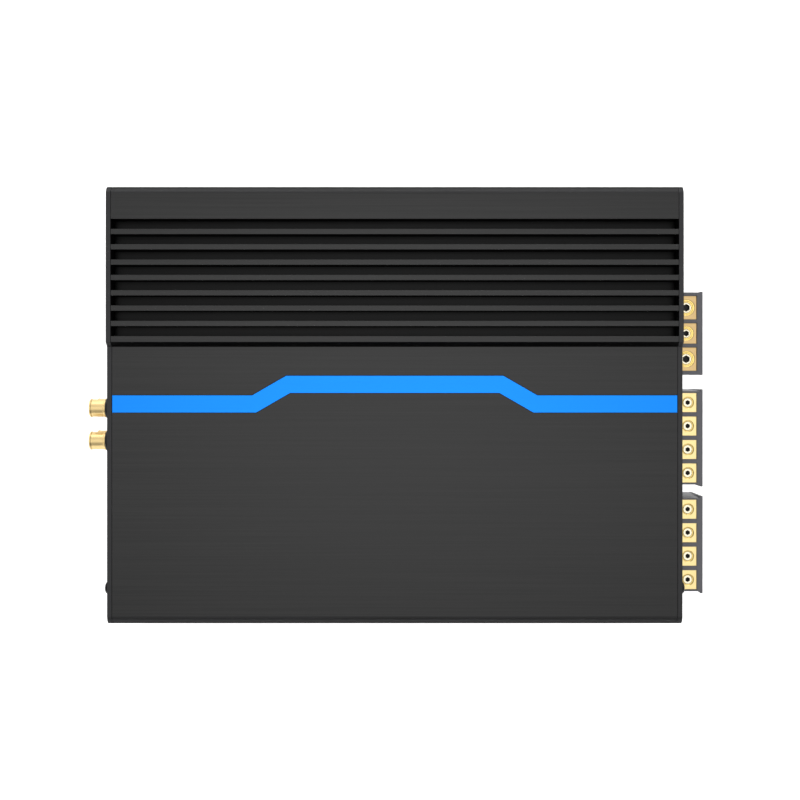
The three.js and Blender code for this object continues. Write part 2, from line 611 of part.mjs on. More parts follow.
function terminalHousing(width, contacts) {
  const sides = about(0, width);
  const neck = -END_PANEL_THICKNESS - SEAM;
  let solid = block([-TERMINAL_DEPTH_INSIDE, TERMINAL_REACH], sides, [TERMINAL_BOTTOM, TERMINAL_TOP]);
  solid = solid.add(block([-TERMINAL_DEPTH_INSIDE, neck], sides, [BOARD_SEAT, TERMINAL_BOTTOM + 1]));
  for (const contact of contacts) {
    const cellX = [-CONTACT_INSET - CELL_CLEARANCE, CONTACT_END + CELL_CLEARANCE];
    const cellY = about(contact.y, contact.width + 2 * CELL_CLEARANCE);
    solid = solid.subtract(block(cellX, cellY, [CONTACT_BOTTOM - CELL_CLEARANCE, TERMINAL_TOP + 1]));
    const entryY = about(contact.y, contact.wireWidth);
    const entryZ = [WIRE_TOP - contact.wireHeight, WIRE_TOP];
    solid = solid.subtract(block([CONTACT_END, TERMINAL_REACH + 1], entryY, entryZ));
  }
  return solid;
}

// A contact is a metal block with a wire bore from its outer side and a threaded hole from its top. Its own
// origin is on the housing's y for it, at the output panel's outer face.
function terminalContact(contact) {
  let solid = block([-CONTACT_INSET, CONTACT_END], about(0, contact.width), [CONTACT_BOTTOM, CONTACT_TOP]);
  const wireX = [0, CONTACT_END + 1];
  const wireZ = [WIRE_TOP - contact.wireHeight, WIRE_TOP];
  solid = solid.subtract(block(wireX, about(0, contact.wireWidth), wireZ));
  const hole = contact.screwRadius + SET_SCREW_CLEARANCE;
  const down = [WIRE_TOP - 1, CONTACT_TOP + 1];
  return solid.subtract(sunkHoleZ(contact.screwX, 0, down, hole, contact.countersink, CONTACT_TOP));
}

function setScrew(contact) {
  const top = CONTACT_TOP - SET_SCREW_RECESS;
  const bottom = top - SET_SCREW_LENGTH;
  const shoulder = bottom + SET_SCREW_CHAMFER;
  const tip = contact.screwRadius - SET_SCREW_CHAMFER;
  let solid = rodZ(0, 0, [shoulder, top], contact.screwRadius);
  solid = solid.add(rodZ(0, 0, [bottom, shoulder], tip, contact.screwRadius));
  const corner = contact.hex / Math.sqrt(3);
  return solid.subtract(rodZ(0, 0, [top - HEX_DEPTH, top + 1], corner, corner, 6));
}

function addTerminalBlock(parent, blockName, contactName, y, width, contacts, firstNumber) {
  const group = new THREE.Group();
  group.position.set(PANEL_FACE, y, 0);
  parent.add(group);
  piece(group, blockName, terminalHousing(width, contacts), darkGreyPlastic);
  contacts.forEach((contact, i) => {
    const number = firstNumber + i;
    piece(group, `${contactName}_contact_${number}`, terminalContact(contact), goldPlate, [0, contact.y, 0]);
    const screwPlace = [contact.screwX, contact.y, 0];
    piece(group, `${contactName}_set_screw_${number}`, setScrew(contact), goldPlate, screwPlace);
  });
}

// ------------------------------------------------------------------ fuses
function fuseHolder() {
  const back = PANEL_BACK - SEAM;
  const pocket = PANEL_FACE + FUSE_REACH - FUSE_BODY - FUSE_CLEARANCE;
  const height = [FUSE_LOW_Z - FUSE_HOLDER_MARGIN, FUSE_LOW_Z + FUSE_WIDTH + FUSE_HOLDER_MARGIN];
  const boardEdge = BOARD_HALF_WIDTH + BOARD_CLEARANCE;
  let solid = block([pocket - FUSE_HOLDER_DEPTH, back], about(FUSE_Y, FUSE_HOLDER_WIDTH), height);
  for (let i = 0; i < FUSE_COUNT; i += 1) {
    const y = fuseY(i);
    const bodyY = about(y, FUSE_THICKNESS + 2 * FUSE_CLEARANCE);
    const bodyZ = about(FUSE_Z, FUSE_WIDTH + 2 * FUSE_CLEARANCE);
    solid = solid.subtract(block([pocket, back + 1], bodyY, bodyZ));
    for (const z of bladeHeights()) {
      const slotY = about(y, FUSE_BLADE_THICKNESS + 2 * FUSE_CLEARANCE);
      const slotZ = about(z, FUSE_BLADE_WIDTH + 2 * FUSE_CLEARANCE);
      solid = solid.subtract(block([pocket - FUSE_BLADE_LENGTH - FUSE_CLEARANCE, pocket + 1], slotY, slotZ));
    }
  }
  const underBoard = block([-PANEL_FACE, PANEL_FACE], [-boardEdge, boardEdge], [0, BOARD_SEAT]);
  return solid.subtract(underBoard);
}

function fuseY(i) {
  return FUSE_Y + (i - (FUSE_COUNT - 1) / 2) * FUSE_PITCH;
}

function bladeHeights() {
  return about(FUSE_Z, FUSE_BLADE_SPREAD);
}

// a blade fuse: a plastic body with two metal blades behind it. Its own x counts from the front of its body.
function bladeFuse() {
  let solid = block([-FUSE_BODY, 0], about(0, FUSE_THICKNESS), about(FUSE_Z, FUSE_WIDTH));
  const hollow = FUSE_THICKNESS / 2 - FUSE_WAIST;
  const waistX = [-FUSE_BODY - 1, -FUSE_SHOULDER];
  for (const cut of [[hollow, FUSE_THICKNESS], [-FUSE_THICKNESS, -hollow]]) {
    solid = solid.subtract(block(waistX, cut, about(FUSE_Z, FUSE_WAIST_WIDTH)));
  }
  for (const z of bladeHeights()) {
    const bladeX = [-FUSE_BODY - FUSE_BLADE_LENGTH, -FUSE_SHOULDER];
    solid = solid.add(block(bladeX, about(0, FUSE_BLADE_THICKNESS), about(z, FUSE_BLADE_WIDTH)));
  }
  return solid;
}

// ------------------------------------------------------------------ phono jacks
// where the four jacks are, as [y, z]: the upper pair first
function jackPlaces() {
  const places = [];
  for (const z of [JACK_LOW_Z + JACK_PITCH_Z, JACK_LOW_Z]) {
    places.push([JACK_CENTRE_Y + JACK_PITCH_Y / 2, z], [JACK_CENTRE_Y - JACK_PITCH_Y / 2, z]);
  }
  return places;
}

// the black plastic body behind the panel, with a collar and an insulator post for each jack
function phonoJackBlock() {
  const back = -PANEL_BACK + SEAM;
  const collarFront = -PANEL_FACE - JACK_COLLAR_REACH;
  const postFront = -PANEL_FACE - JACK_REACH + JACK_INSULATOR_RECESS;
  const postRadius = JACK_SHELL_RADIUS - JACK_SHELL_WALL - JACK_CLEARANCE;
  const top = JACK_LOW_Z + JACK_PITCH_Z + JACK_BODY_MARGIN;
  const width = JACK_PITCH_Y + 2 * JACK_BODY_MARGIN;
  let solid = block([back, back + JACK_BODY_DEPTH], about(JACK_CENTRE_Y, width), [BOARD_SEAT, top]);
  for (const [y, z] of jackPlaces()) {
    solid = solid.add(rodX([collarFront, back + 1], y, z, JACK_COLLAR_RADIUS));
    const seat = [collarFront - 1, collarFront + JACK_SEAT_DEPTH + JACK_CLEARANCE];
    solid = solid.subtract(rodX(seat, y, z, JACK_SHELL_RADIUS + JACK_CLEARANCE));
    solid = solid.add(rodX([postFront, back + 1], y, z, postRadius));
    solid = solid.subtract(rodX([postFront - 1, collarFront], y, z, JACK_PIN_BORE, JACK_PIN_BORE, 12));
  }
  return solid;
}

// a gold-plated sleeve with a flange at its base and a rolled rim at its front. Its x counts from its front.
function phonoShell() {
  const inner = JACK_SHELL_RADIUS - JACK_SHELL_WALL;
  const end = JACK_REACH - JACK_COLLAR_REACH + JACK_SEAT_DEPTH;
  const flange = JACK_REACH - JACK_COLLAR_REACH - JACK_CLEARANCE;
  const rimRadius = JACK_SHELL_RADIUS + JACK_RIM_PROUD;
  const flangeRadius = JACK_SHELL_RADIUS + JACK_FLANGE_PROUD;
  return turnedX([
    [inner, 0],
    [rimRadius - JACK_RIM_CORNER, 0],
    [rimRadius, JACK_RIM_CORNER],
    [rimRadius, JACK_RIM_LENGTH],
    [JACK_SHELL_RADIUS, JACK_RIM_LENGTH + JACK_RIM_CORNER],
    [JACK_SHELL_RADIUS, flange - JACK_FLANGE_LENGTH],
    [flangeRadius, flange - JACK_FLANGE_LENGTH],
    [flangeRadius, flange],
    [JACK_SHELL_RADIUS, flange],
    [JACK_SHELL_RADIUS, end],
    [inner, end],
    [inner, 0],
  ]);
}

// ------------------------------------------------------------------ controls
function knobPlaces() {
  return [
    ['gain_knob_front', KNOB_FRONT_Y[0]],
    ['crossover_knob_front', KNOB_FRONT_Y[1]],
    ['gain_knob_rear', KNOB_REAR_Y[0]],
    ['crossover_knob_rear', KNOB_REAR_Y[1]],
  ];
}

function switchPlaces() {
  return [
    ['crossover_switch_front', SWITCH_FRONT_Y],
    ['crossover_switch_rear', SWITCH_REAR_Y],
  ];
}

// a fluted knob on its shaft, with a slot across its face. It turns about X and points towards -X.
function controlKnob() {
  const front = -PANEL_FACE - KNOB_REACH;
  const shaftEnd = -PANEL_FACE + CONTROL_BOARD_DEPTH - POT_LENGTH + SHAFT_IN_POT;
  const shape = new THREE.Shape();
  const steps = KNOB_FLUTES * KNOB_STEPS;
  for (let i = 0; i < steps; i += 1) {
    const turn = (i / steps) * 2 * Math.PI;
    const radius = KNOB_RADIUS - KNOB_FLUTE_DEPTH * (0.5 - 0.5 * Math.cos(KNOB_FLUTES * turn));
    if (i === 0) {
      shape.moveTo(radius, 0);
    } else {
      shape.lineTo(radius * Math.cos(turn), radius * Math.sin(turn));
    }
  }
  let solid = prismX(shape, [front, front + KNOB_LENGTH]);
  solid = solid.add(rodX([front + 1, shaftEnd], 0, 0, SHAFT_RADIUS));
  const slot = block([front - 1, front + KNOB_SLOT_DEPTH], about(0, KNOB_SLOT_WIDTH), [0, KNOB_RADIUS + 1]);
  return solid.subtract(slot);
}

// the cap of a slide switch with the tongue that reaches into the switch body
function switchCap() {
  const front = -PANEL_FACE - SWITCH_CAP_REACH;
  const bodyFront = -PANEL_FACE + CONTROL_BOARD_DEPTH - SWITCH_BODY_DEPTH;
  const width = about(0, SWITCH_CAP_WIDTH);
  const height = about(CONTROL_Z, SWITCH_CAP_HEIGHT);
  let solid = block([front, bodyFront + SWITCH_TONGUE_DEPTH], width, height);
  const ridge = SWITCH_CAP_WIDTH / 7;
  for (const i of [-2, 0, 2]) {
    solid = solid.subtract(block([front - 1, front + ridge], about(i * ridge, ridge), height));
  }
  return solid;
}

// the small upright board behind the input panel, with four potentiometer bodies and two switch bodies
function controlBoard() {
  const front = -PANEL_FACE + CONTROL_BOARD_DEPTH;
  const ends = [KNOB_REAR_Y[1] - CONTROL_BOARD_END, KNOB_FRONT_Y[1] + CONTROL_BOARD_END];
  let solid = block([front, front + CONTROL_BOARD_THICKNESS], ends, [BOARD_SEAT, CONTROL_BOARD_TOP]);
  for (const [, y] of knobPlaces()) {
    solid = solid.add(rodX([front - POT_LENGTH, front + JOIN], y, CONTROL_Z, POT_RADIUS));
    const socketEnd = front - POT_LENGTH + SHAFT_IN_POT + SHAFT_CLEARANCE;
    const hole = SHAFT_RADIUS + SHAFT_CLEARANCE;
    solid = solid.subtract(rodX([front - POT_LENGTH - 1, socketEnd], y, CONTROL_Z, hole));
  }
  const slotWidth = SWITCH_CAP_WIDTH + SWITCH_TRAVEL + 2 * SWITCH_SLOT_CLEARANCE;
  const slotHeight = SWITCH_CAP_HEIGHT + 2 * SWITCH_SLOT_CLEARANCE;
  for (const [, y] of switchPlaces()) {
    const bodyX = [front - SWITCH_BODY_DEPTH, front + JOIN];
    const bodyY = about(y, slotWidth + 2 * SWITCH_BODY_MARGIN);
    solid = solid.add(block(bodyX, bodyY, about(CONTROL_Z, slotHeight + 2 * SWITCH_BODY_MARGIN)));
    const slotX = [bodyX[0] - 1, bodyX[0] + SWITCH_TONGUE_DEPTH + SWITCH_SLOT_CLEARANCE];
    solid = solid.subtract(block(slotX, about(y, slotWidth), about(CONTROL_Z, slotHeight)));
  }
  return solid;
}

function indicatorLamp() {
  const body = rodX([-PANEL_FACE, -PANEL_FACE + LED_LENGTH], LED_Y, CONTROL_Z, LED_RADIUS);
  const dome = new THREE.SphereGeometry(LED_RADIUS, ROUND_SIDES, 8);
  dome.rotateZ(Math.PI / 2);
  dome.rotateX(Math.PI / 2);
  dome.scale(LED_REACH / LED_RADIUS, 1, 1);
  dome.translate(-PANEL_FACE, LED_Y, CONTROL_Z);
  return body.add(toSolid(dome));
}

function highLevelSocket() {
  const front = -PANEL_FACE - SOCKET_REACH;
  const width = about(SOCKET_Y, SOCKET_WIDTH);
  const solid = block([front, front + SOCKET_DEPTH], width, about(CONTROL_Z, SOCKET_HEIGHT));
  const cavityX = [front - 1, front + SOCKET_CAVITY_DEPTH];
  const cavityY = about(SOCKET_Y, SOCKET_WIDTH - 2 * SOCKET_WALL);
  return solid.subtract(block(cavityX, cavityY, about(CONTROL_Z, SOCKET_HEIGHT - 2 * SOCKET_WALL)));
}

// ------------------------------------------------------------------ end panels with their openings
function inputEndPanel() {
  const through = [-PANEL_FACE - 1, -PANEL_BACK + 1];
  let solid = endPanel([-PANEL_FACE, -PANEL_BACK]);
  for (const [y, z] of jackPlaces()) {
    solid = solid.subtract(rodX(through, y, z, JACK_COLLAR_RADIUS + JACK_CLEARANCE));
  }
  for (const [, y] of knobPlaces()) {
    solid = solid.subtract(rodX(through, y, CONTROL_Z, KNOB_RADIUS + KNOB_CLEARANCE));
  }
  const slotWidth = SWITCH_CAP_WIDTH + SWITCH_TRAVEL + 2 * SWITCH_SLOT_CLEARANCE;
  const slotHeight = SWITCH_CAP_HEIGHT + 2 * SWITCH_SLOT_CLEARANCE;
  for (const [, y] of switchPlaces()) {
    solid = solid.subtract(block(through, about(y, slotWidth), about(CONTROL_Z, slotHeight)));
  }
  solid = solid.subtract(rodX(through, LED_Y, CONTROL_Z, LED_RADIUS + LED_CLEARANCE));
  const windowY = about(SOCKET_Y, SOCKET_WIDTH + 2 * SEAM);
  return solid.subtract(block(through, windowY, about(CONTROL_Z, SOCKET_HEIGHT + 2 * SEAM)));
}

function outputEndPanel() {
  const through = [PANEL_BACK - 1, PANEL_FACE + 1];
  const grow = 2 * TERMINAL_WINDOW_CLEARANCE;
  const terminalZ = [TERMINAL_BOTTOM - TERMINAL_WINDOW_CLEARANCE, TERMINAL_TOP + TERMINAL_WINDOW_CLEARANCE];
  let solid = endPanel([PANEL_BACK, PANEL_FACE]);
  solid = solid.subtract(block(through, about(POWER_Y, POWER_BLOCK_WIDTH + grow), terminalZ));
  for (const y of [FRONT_SPEAKER_Y, REAR_SPEAKER_Y]) {
    solid = solid.subtract(block(through, about(y, SPEAKER_BLOCK_WIDTH + grow), terminalZ));
  }
  for (let i = 0; i < FUSE_COUNT; i += 1) {
    const slotY = about(fuseY(i), FUSE_THICKNESS + 2 * FUSE_CLEARANCE);
    solid = solid.subtract(block(through, slotY, about(FUSE_Z, FUSE_WIDTH + 2 * FUSE_CLEARANCE)));
  }
  return solid;
}

// ------------------------------------------------------------------ inside
function mainCircuitBoard() {
  const end = EXTRUSION_END - BOARD_CLEARANCE;
  return block([-end, end], about(0, 2 * BOARD_HALF_WIDTH), [BOARD_BOTTOM, BOARD_TOP]);
}

function toroidTransformer() {
  const shape = new THREE.Shape();
  const outer = TOROID_RADIUS - TOROID_CORNER;
  const inner = TOROID_HOLE_RADIUS + TOROID_CORNER;
  const high = TOROID_HEIGHT - TOROID_CORNER;
  shape.moveTo(inner, 0);
  shape.absarc(outer, TOROID_CORNER, TOROID_CORNER, -Math.PI / 2, 0, false);
  shape.absarc(outer, high, TOROID_CORNER, 0, Math.PI / 2, false);
  shape.absarc(inner, high, TOROID_CORNER, Math.PI / 2, Math.PI, false);
  shape.absarc(inner, TOROID_CORNER, TOROID_CORNER, Math.PI, 1.5 * Math.PI, false);
  const points = shape.getPoints(2);
  points[points.length - 1].copy(points[0]);
  const geometry = new THREE.LatheGeometry(points, ROUND_SIDES);
  geometry.rotateX(Math.PI / 2);
  return toSolid(geometry);
}

function reservoirCapacitor() {
  const waist = CAPACITOR_RADIUS - CAPACITOR_GROOVE / 2;
  const grooveTop = CAPACITOR_GROOVE_Z + CAPACITOR_GROOVE;
  const can = rodZ(0, 0, [0, CAPACITOR_HEIGHT], CAPACITOR_RADIUS);
  const around = rodZ(0, 0, [CAPACITOR_GROOVE_Z, grooveTop], CAPACITOR_RADIUS + 1);
  const within = rodZ(0, 0, [CAPACITOR_GROOVE_Z - 1, grooveTop + 1], waist);
  return can.subtract(around.subtract(within));
}

// the row of output transistors that a bar presses against the finned side wall
function transistorBank() {
  const wall = INNER_SIDE - SEAM;
  const bottom = LEDGE_TOP + SEAT_GAP;
  const barZ = about(bottom + TRANSISTOR_HEIGHT / 2, CLAMP_BAR_HEIGHT);
  const span = (TRANSISTOR_COUNT - 1) * TRANSISTOR_PITCH + TRANSISTOR_WIDTH;
  const barY = [wall - TRANSISTOR_THICKNESS - CLAMP_BAR_THICKNESS, wall - TRANSISTOR_THICKNESS];
  let solid = block(about(0, span), barY, barZ);
  for (let i = 0; i < TRANSISTOR_COUNT; i += 1) {
    const x = (i - (TRANSISTOR_COUNT - 1) / 2) * TRANSISTOR_PITCH;
    const height = [bottom, bottom + TRANSISTOR_HEIGHT];
    solid = solid.add(block(about(x, TRANSISTOR_WIDTH), [barY[1] - JOIN, wall], height));
  }
  return solid;
}

// ------------------------------------------------------------------ assembly
function addCase(parent) {
  piece(parent, 'heatsink_extrusion', heatsinkExtrusion(), blackAnodised);
  piece(parent, 'bottom_plate', bottomPlate(), blackSteel);
  piece(parent, 'input_end_panel', inputEndPanel(), blackAnodised);
  piece(parent, 'output_end_panel', outputEndPanel(), blackAnodised);
  piece(parent, 'accent_stripe', accentStripe(), blueEnamel);
}

function addPanelScrews(parent) {
  for (const [end, side] of [['output', 1], ['input', -1]]) {
    const group = new THREE.Group();
    group.position.x = side * PANEL_FACE;
    group.rotation.z = side === 1 ? 0 : Math.PI;
    parent.add(group);
    END_SCREWS.forEach(([y, z], i) => {
      piece(group, `${end}_panel_screw_${i + 1}`, panHeadScrew(), blackScrewSteel, [0, side * y, z]);
    });
  }
}

function addTerminals(parent) {
  const powerSet = powerContacts();
  const speakerSet = speakerContacts();
  addTerminalBlock(parent, 'power_terminal_housing', 'power', POWER_Y, POWER_BLOCK_WIDTH, powerSet, 1);
  addTerminalBlock(
    parent, 'speaker_terminal_housing_front', 'speaker', FRONT_SPEAKER_Y, SPEAKER_BLOCK_WIDTH, speakerSet, 1,
  );
  addTerminalBlock(
    parent, 'speaker_terminal_housing_rear', 'speaker', REAR_SPEAKER_Y, SPEAKER_BLOCK_WIDTH, speakerSet, 5,
  );
}

function addFuses(parent) {
  piece(parent, 'fuse_holder', fuseHolder(), blackPlastic);
  for (let i = 0; i < FUSE_COUNT; i += 1) {
    piece(parent, `blade_fuse_${i + 1}`, bladeFuse(), amberPlastic, [PANEL_FACE + FUSE_REACH, fuseY(i), 0]);
  }
}

function addJacks(parent) {
  piece(parent, 'phono_jack_block', phonoJackBlock(), blackPlastic);
  jackPlaces().forEach(([y, z], i) => {
    piece(parent, `phono_shell_${i + 1}`, phonoShell(), goldPlate, [-PANEL_FACE - JACK_REACH, y, z]);
  });
}

function addControls(parent) {
  piece(parent, 'control_board', controlBoard(), boardLaminate);
  for (const [name, y] of knobPlaces()) {
    piece(parent, name, controlKnob(), blackPlastic, [0, y, CONTROL_Z]);
  }
  for (const [name, y] of switchPlaces()) {
    piece(parent, name, switchCap(), blackPlastic, [0, y, 0]);
  }
  piece(parent, 'power_lamp', indicatorLamp(), blueLens);
  piece(parent, 'high_level_input_socket', highLevelSocket(), whitePlastic);
}

function addInside(parent) {
  piece(parent, 'main_circuit_board', mainCircuitBoard(), boardLaminate);
  piece(parent, 'toroid_transformer', toroidTransformer(), copperWinding, [...TOROID_PLACE, BOARD_SEAT]);
  const pitch = 2 * CAPACITOR_RADIUS + CAPACITOR_GAP;
  for (let i = 0; i < CAPACITOR_COUNT; i += 1) {
    const place = [CAPACITOR_PLACE[0] + i * pitch, CAPACITOR_PLACE[1], BOARD_SEAT];
    piece(parent, `reservoir_capacitor_${i + 1}`, reservoirCapacitor(), sleeveBlue, place);
  }
  piece(parent, 'output_transistor_bank', transistorBank(), bareAluminium);
}

const amplifier = new THREE.Group();
addCase(amplifier);
addPanelScrews(amplifier);
addTerminals(amplifier);
addFuses(amplifier);
addJacks(amplifier);
addControls(amplifier);
addInside(amplifier);

export default amplifier;
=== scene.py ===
"""A four-channel car amplifier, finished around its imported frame.

The case is one black anodised extrusion with eight fin channels and a bent blue stripe. The input end has
phono jacks, knobs, switches, a lamp and a socket. The output end has a supply terminal block, two loudspeaker
terminal blocks and two blade fuses. Lengths are in metres, in the frame's axes: +X runs from the inputs to
the outputs, +Y points to the fins and +Z points up.
"""
import math

import bmesh
import bpy
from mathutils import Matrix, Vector


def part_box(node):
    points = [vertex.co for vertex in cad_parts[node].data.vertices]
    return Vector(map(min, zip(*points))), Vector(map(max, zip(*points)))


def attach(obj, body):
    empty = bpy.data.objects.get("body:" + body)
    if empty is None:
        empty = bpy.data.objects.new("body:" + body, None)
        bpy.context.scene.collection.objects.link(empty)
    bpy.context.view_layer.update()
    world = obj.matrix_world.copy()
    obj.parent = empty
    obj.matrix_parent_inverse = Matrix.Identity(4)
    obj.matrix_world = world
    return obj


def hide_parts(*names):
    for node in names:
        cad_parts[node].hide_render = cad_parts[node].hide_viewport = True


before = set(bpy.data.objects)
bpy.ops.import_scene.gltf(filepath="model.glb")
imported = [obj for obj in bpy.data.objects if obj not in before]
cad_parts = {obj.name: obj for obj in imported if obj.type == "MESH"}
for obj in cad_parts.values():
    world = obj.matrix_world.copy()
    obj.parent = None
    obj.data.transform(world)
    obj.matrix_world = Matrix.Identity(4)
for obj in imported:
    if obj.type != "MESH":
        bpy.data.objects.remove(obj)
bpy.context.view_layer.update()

MM = 0.001
CHASSIS = "chassis"

# ---------------------------------------------------------------- the case's own sizes
EXTRUSION_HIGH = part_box("heatsink_extrusion")[1]
SIDE = EXTRUSION_HIGH.y
FIN_HEIGHT = EXTRUSION_HIGH.z
STRIPE_LOW, STRIPE_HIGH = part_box("accent_stripe")
FLAT_HEIGHT = STRIPE_HIGH.z
PANEL_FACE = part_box("output_end_panel")[1].x
PANEL_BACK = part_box("output_end_panel")[0].x
EDGE_RADIUS = 4 * MM
SIDE_WALL = 3 * MM
FIN_MARGIN = 15.15 * MM
CHANNEL_COUNT = 8
CHANNEL_WIDTH = 4.5 * MM
CHANNEL_DEPTH = 8.5 * MM
FIN_WIDTH = 2.5 * MM
LAST_FIN_WIDTH = 2.7 * MM
STEP_RUN = 2.1 * MM
STRIPE_WIDTH = 7.9 * MM
STRIPE_BEND_OUTER = 65.4 * MM
STRIPE_BEND_INNER = 49.8 * MM
STRIPE_BEND_SHIFT = 1.8 * MM
GROOVE_GAP = 0.1 * MM
ARC_STEPS = 10
SEAM_COVER = 0.2 * MM  # the extrusion reaches this far into the seams at its ends, which look closed

CHANNEL_PITCH = CHANNEL_WIDTH + FIN_WIDTH
FIRST_CHANNEL = SIDE - FIN_MARGIN
STEP_TOP_Y = FIRST_CHANNEL - CHANNEL_COUNT * CHANNEL_PITCH + FIN_WIDTH - LAST_FIN_WIDTH
STEP_BOTTOM_Y = STEP_TOP_Y - STEP_RUN


# ---------------------------------------------------------------- making meshes
def new_piece(name, mesh):
    piece = bpy.data.objects.new(name, mesh)
    bpy.context.scene.collection.objects.link(piece)
    return piece


def from_bmesh(name, shape):
    bmesh.ops.recalc_face_normals(shape, faces=shape.faces)
    mesh = bpy.data.meshes.new(name)
    shape.to_mesh(mesh)
    shape.free()
    return new_piece(name, mesh)


def block(name, low, high):
    """A box between two corners."""
    shape = bmesh.new()
    bmesh.ops.create_cube(shape, size=1)
    low, high = Vector(low), Vector(high)
    for vertex in shape.verts:
        vertex.co = Vector(low[i] + (vertex.co[i] + 0.5) * (high[i] - low[i]) for i in range(3))
    return from_bmesh(name, shape)


def prism(name, outline, start, end, along):
    """A flat outline drawn out along X (outline in Y and Z) or along Z (outline in X and Y)."""
    shape = bmesh.new()
    if along == "X":
        corners = [(start, y, z) for y, z in outline]
        travel = Vector((end - start, 0, 0))
    else:
        corners = [(x, y, start) for x, y in outline]
        travel = Vector((0, 0, end - start))
    face = shape.faces.new([shape.verts.new(corner) for corner in corners])
    grown = bmesh.ops.extrude_face_region(shape, geom=[face])
    moved = [item for item in grown["geom"] if isinstance(item, bmesh.types.BMVert)]
    bmesh.ops.translate(shape, verts=moved, vec=travel)
    return from_bmesh(name, shape)


def turned(name, rings, along, centre, steps=48):
    """A turned piece. Each ring is (radius, height): radius 0 is a point on the axis, and a function of the
    angle gives a ring that isn't round. A last ring that repeats the first closes the profile."""
    shape = bmesh.new()
    closed = rings[0] == rings[-1]
    loops = []
    for radius, height in rings[:-1] if closed else rings:
        count = 1 if radius == 0 else steps
        loop = []
        for i in range(count):
            turn = 2 * math.pi * i / steps
            reach = radius(turn) if callable(radius) else radius
            across, up = reach * math.cos(turn), reach * math.sin(turn)
            local = (height, across, up) if along == "X" else (across, up, height)
            loop.append(shape.verts.new(Vector(centre) + Vector(local)))
        loops.append(loop)
    if closed:
        loops.append(loops[0])
    for first, second in zip(loops, loops[1:]):
        for i in range(steps):
            j = (i + 1) % steps
            around = [(first, i), (first, j), (second, j), (second, i)]
            corners = list(dict.fromkeys(loop[k % len(loop)] for loop, k in around))
            if len(corners) > 2:
                shape.faces.new(corners)
    return from_bmesh(name, shape)


def settle(piece):
    """Turns a piece's modifiers into its mesh."""
    depsgraph = bpy.context.evaluated_depsgraph_get()
    mesh = bpy.data.meshes.new_from_object(piece.evaluated_get(depsgraph))
    piece.modifiers.clear()
    piece.data = mesh
    return piece


def carve(piece, *cutters):
    """Cuts the cutters' shapes out of a piece and drops the cutters."""
    for cutter in cutters:
        cut = piece.modifiers.new("cut", "BOOLEAN")
        cut.operation = "DIFFERENCE"
        cut.solver = "EXACT"
        cut.object = cutter
    settle(piece)
    for cutter in cutters:
        bpy.data.objects.remove(cutter)
    return piece


def soften(piece, width, segments=2, angle=30):
    """Rounds the edges that a real tool or mould would leave rounded, and shades the rest smooth."""
    bevel = piece.modifiers.new("rounded_edges", "BEVEL")
    bevel.width = width
    bevel.segments = segments
    bevel.limit_method = "ANGLE"
    bevel.angle_limit = math.radians(angle)
    bevel.harden_normals = True
    for polygon in piece.data.polygons:
        polygon.use_smooth = True
    return piece


def fit(piece, finish, body=CHASSIS, node=None):
    """Gives a piece its finish and its body, and stands it in for a node of the frame."""
    piece.data.materials.clear()
    for each in finish if isinstance(finish, (list, tuple)) else [finish]:
        piece.data.materials.append(each)
    if node:
        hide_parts(node)
    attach(piece, body)
    return piece


def copied(node, finish, edge, body=CHASSIS, name=None):
    """The frame's own shape with its flat faces joined and its edges rounded."""
    shape = bmesh.new()
    shape.from_mesh(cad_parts[node].data)
    bmesh.ops.remove_doubles(shape, verts=shape.verts, dist=0.001 * MM)
    bmesh.ops.dissolve_limit(shape, angle_limit=math.radians(1), verts=shape.verts, edges=shape.edges)
    piece = from_bmesh(name or node + "_finished", shape)
    return fit(soften(piece, edge), finish, body, node)


# ---------------------------------------------------------------- making materials
def linear(colour):
    """An sRGB hex colour as the linear colour that a shader takes."""
    channels = [int(colour[i:i + 2], 16) / 255 for i in (1, 3, 5)]
    return [c / 12.92 if c <= 0.04045 else ((c + 0.055) / 1.055) ** 2.4 for c in channels] + [1.0]


def add(tree, kind, inputs=None, **settings):
    """Adds a node. An input that is another node's output is linked, and any other is set."""
    node = tree.nodes.new(kind)
    for name, value in settings.items():
        setattr(node, name, value)
    for name, value in (inputs or {}).items():
        if isinstance(value, bpy.types.NodeSocket):
            tree.links.new(value, node.inputs[name])
        else:
            node.inputs[name].default_value = value
    return node


def grained(name, dark, light, grain, relief, gloss, **shader_inputs):
    """A finish whose grain shows in its tone, its gloss and its relief. dark and light are the ends of its
    tone, grain the size of one grain in mm along X, Y and Z, relief the height of the grain in mm, and gloss
    the lowest and highest roughness."""
    material = bpy.data.materials.new(name)
    material.use_nodes = True
    tree = material.node_tree
    tree.nodes.clear()
    place = add(tree, "ShaderNodeTexCoord").outputs["Object"]
    per_metre = [1 / (size * MM) for size in grain]
    spread = add(tree, "ShaderNodeMapping", {"Vector": place, "Scale": per_metre})
    pattern = {"Vector": spread.outputs[0], "Scale": 1, "Detail": 3, "Roughness": 0.6}
    noise = add(tree, "ShaderNodeTexNoise", pattern)
    stretch = {"Value": noise.outputs["Fac"], "From Min": 0.3, "From Max": 0.7}
    level = add(tree, "ShaderNodeMapRange", stretch).outputs[0]
    tones = {0: level, 6: linear(dark), 7: linear(light)}
    tone = add(tree, "ShaderNodeMix", tones, data_type="RGBA")
    rough = add(tree, "ShaderNodeMapRange", {"Value": level, "To Min": gloss[0], "To Max": gloss[1]})
    bump = add(tree, "ShaderNodeBump", {"Height": level, "Strength": 1, "Distance": relief * MM})
    inputs = {"Base Color": tone.outputs[2], "Roughness": rough.outputs[0], "Normal": bump.outputs[0]}
    shader = add(tree, "ShaderNodeBsdfPrincipled", {**inputs, **shader_inputs})
    add(tree, "ShaderNodeOutputMaterial", {"Surface": shader.outputs[0]})
    return material


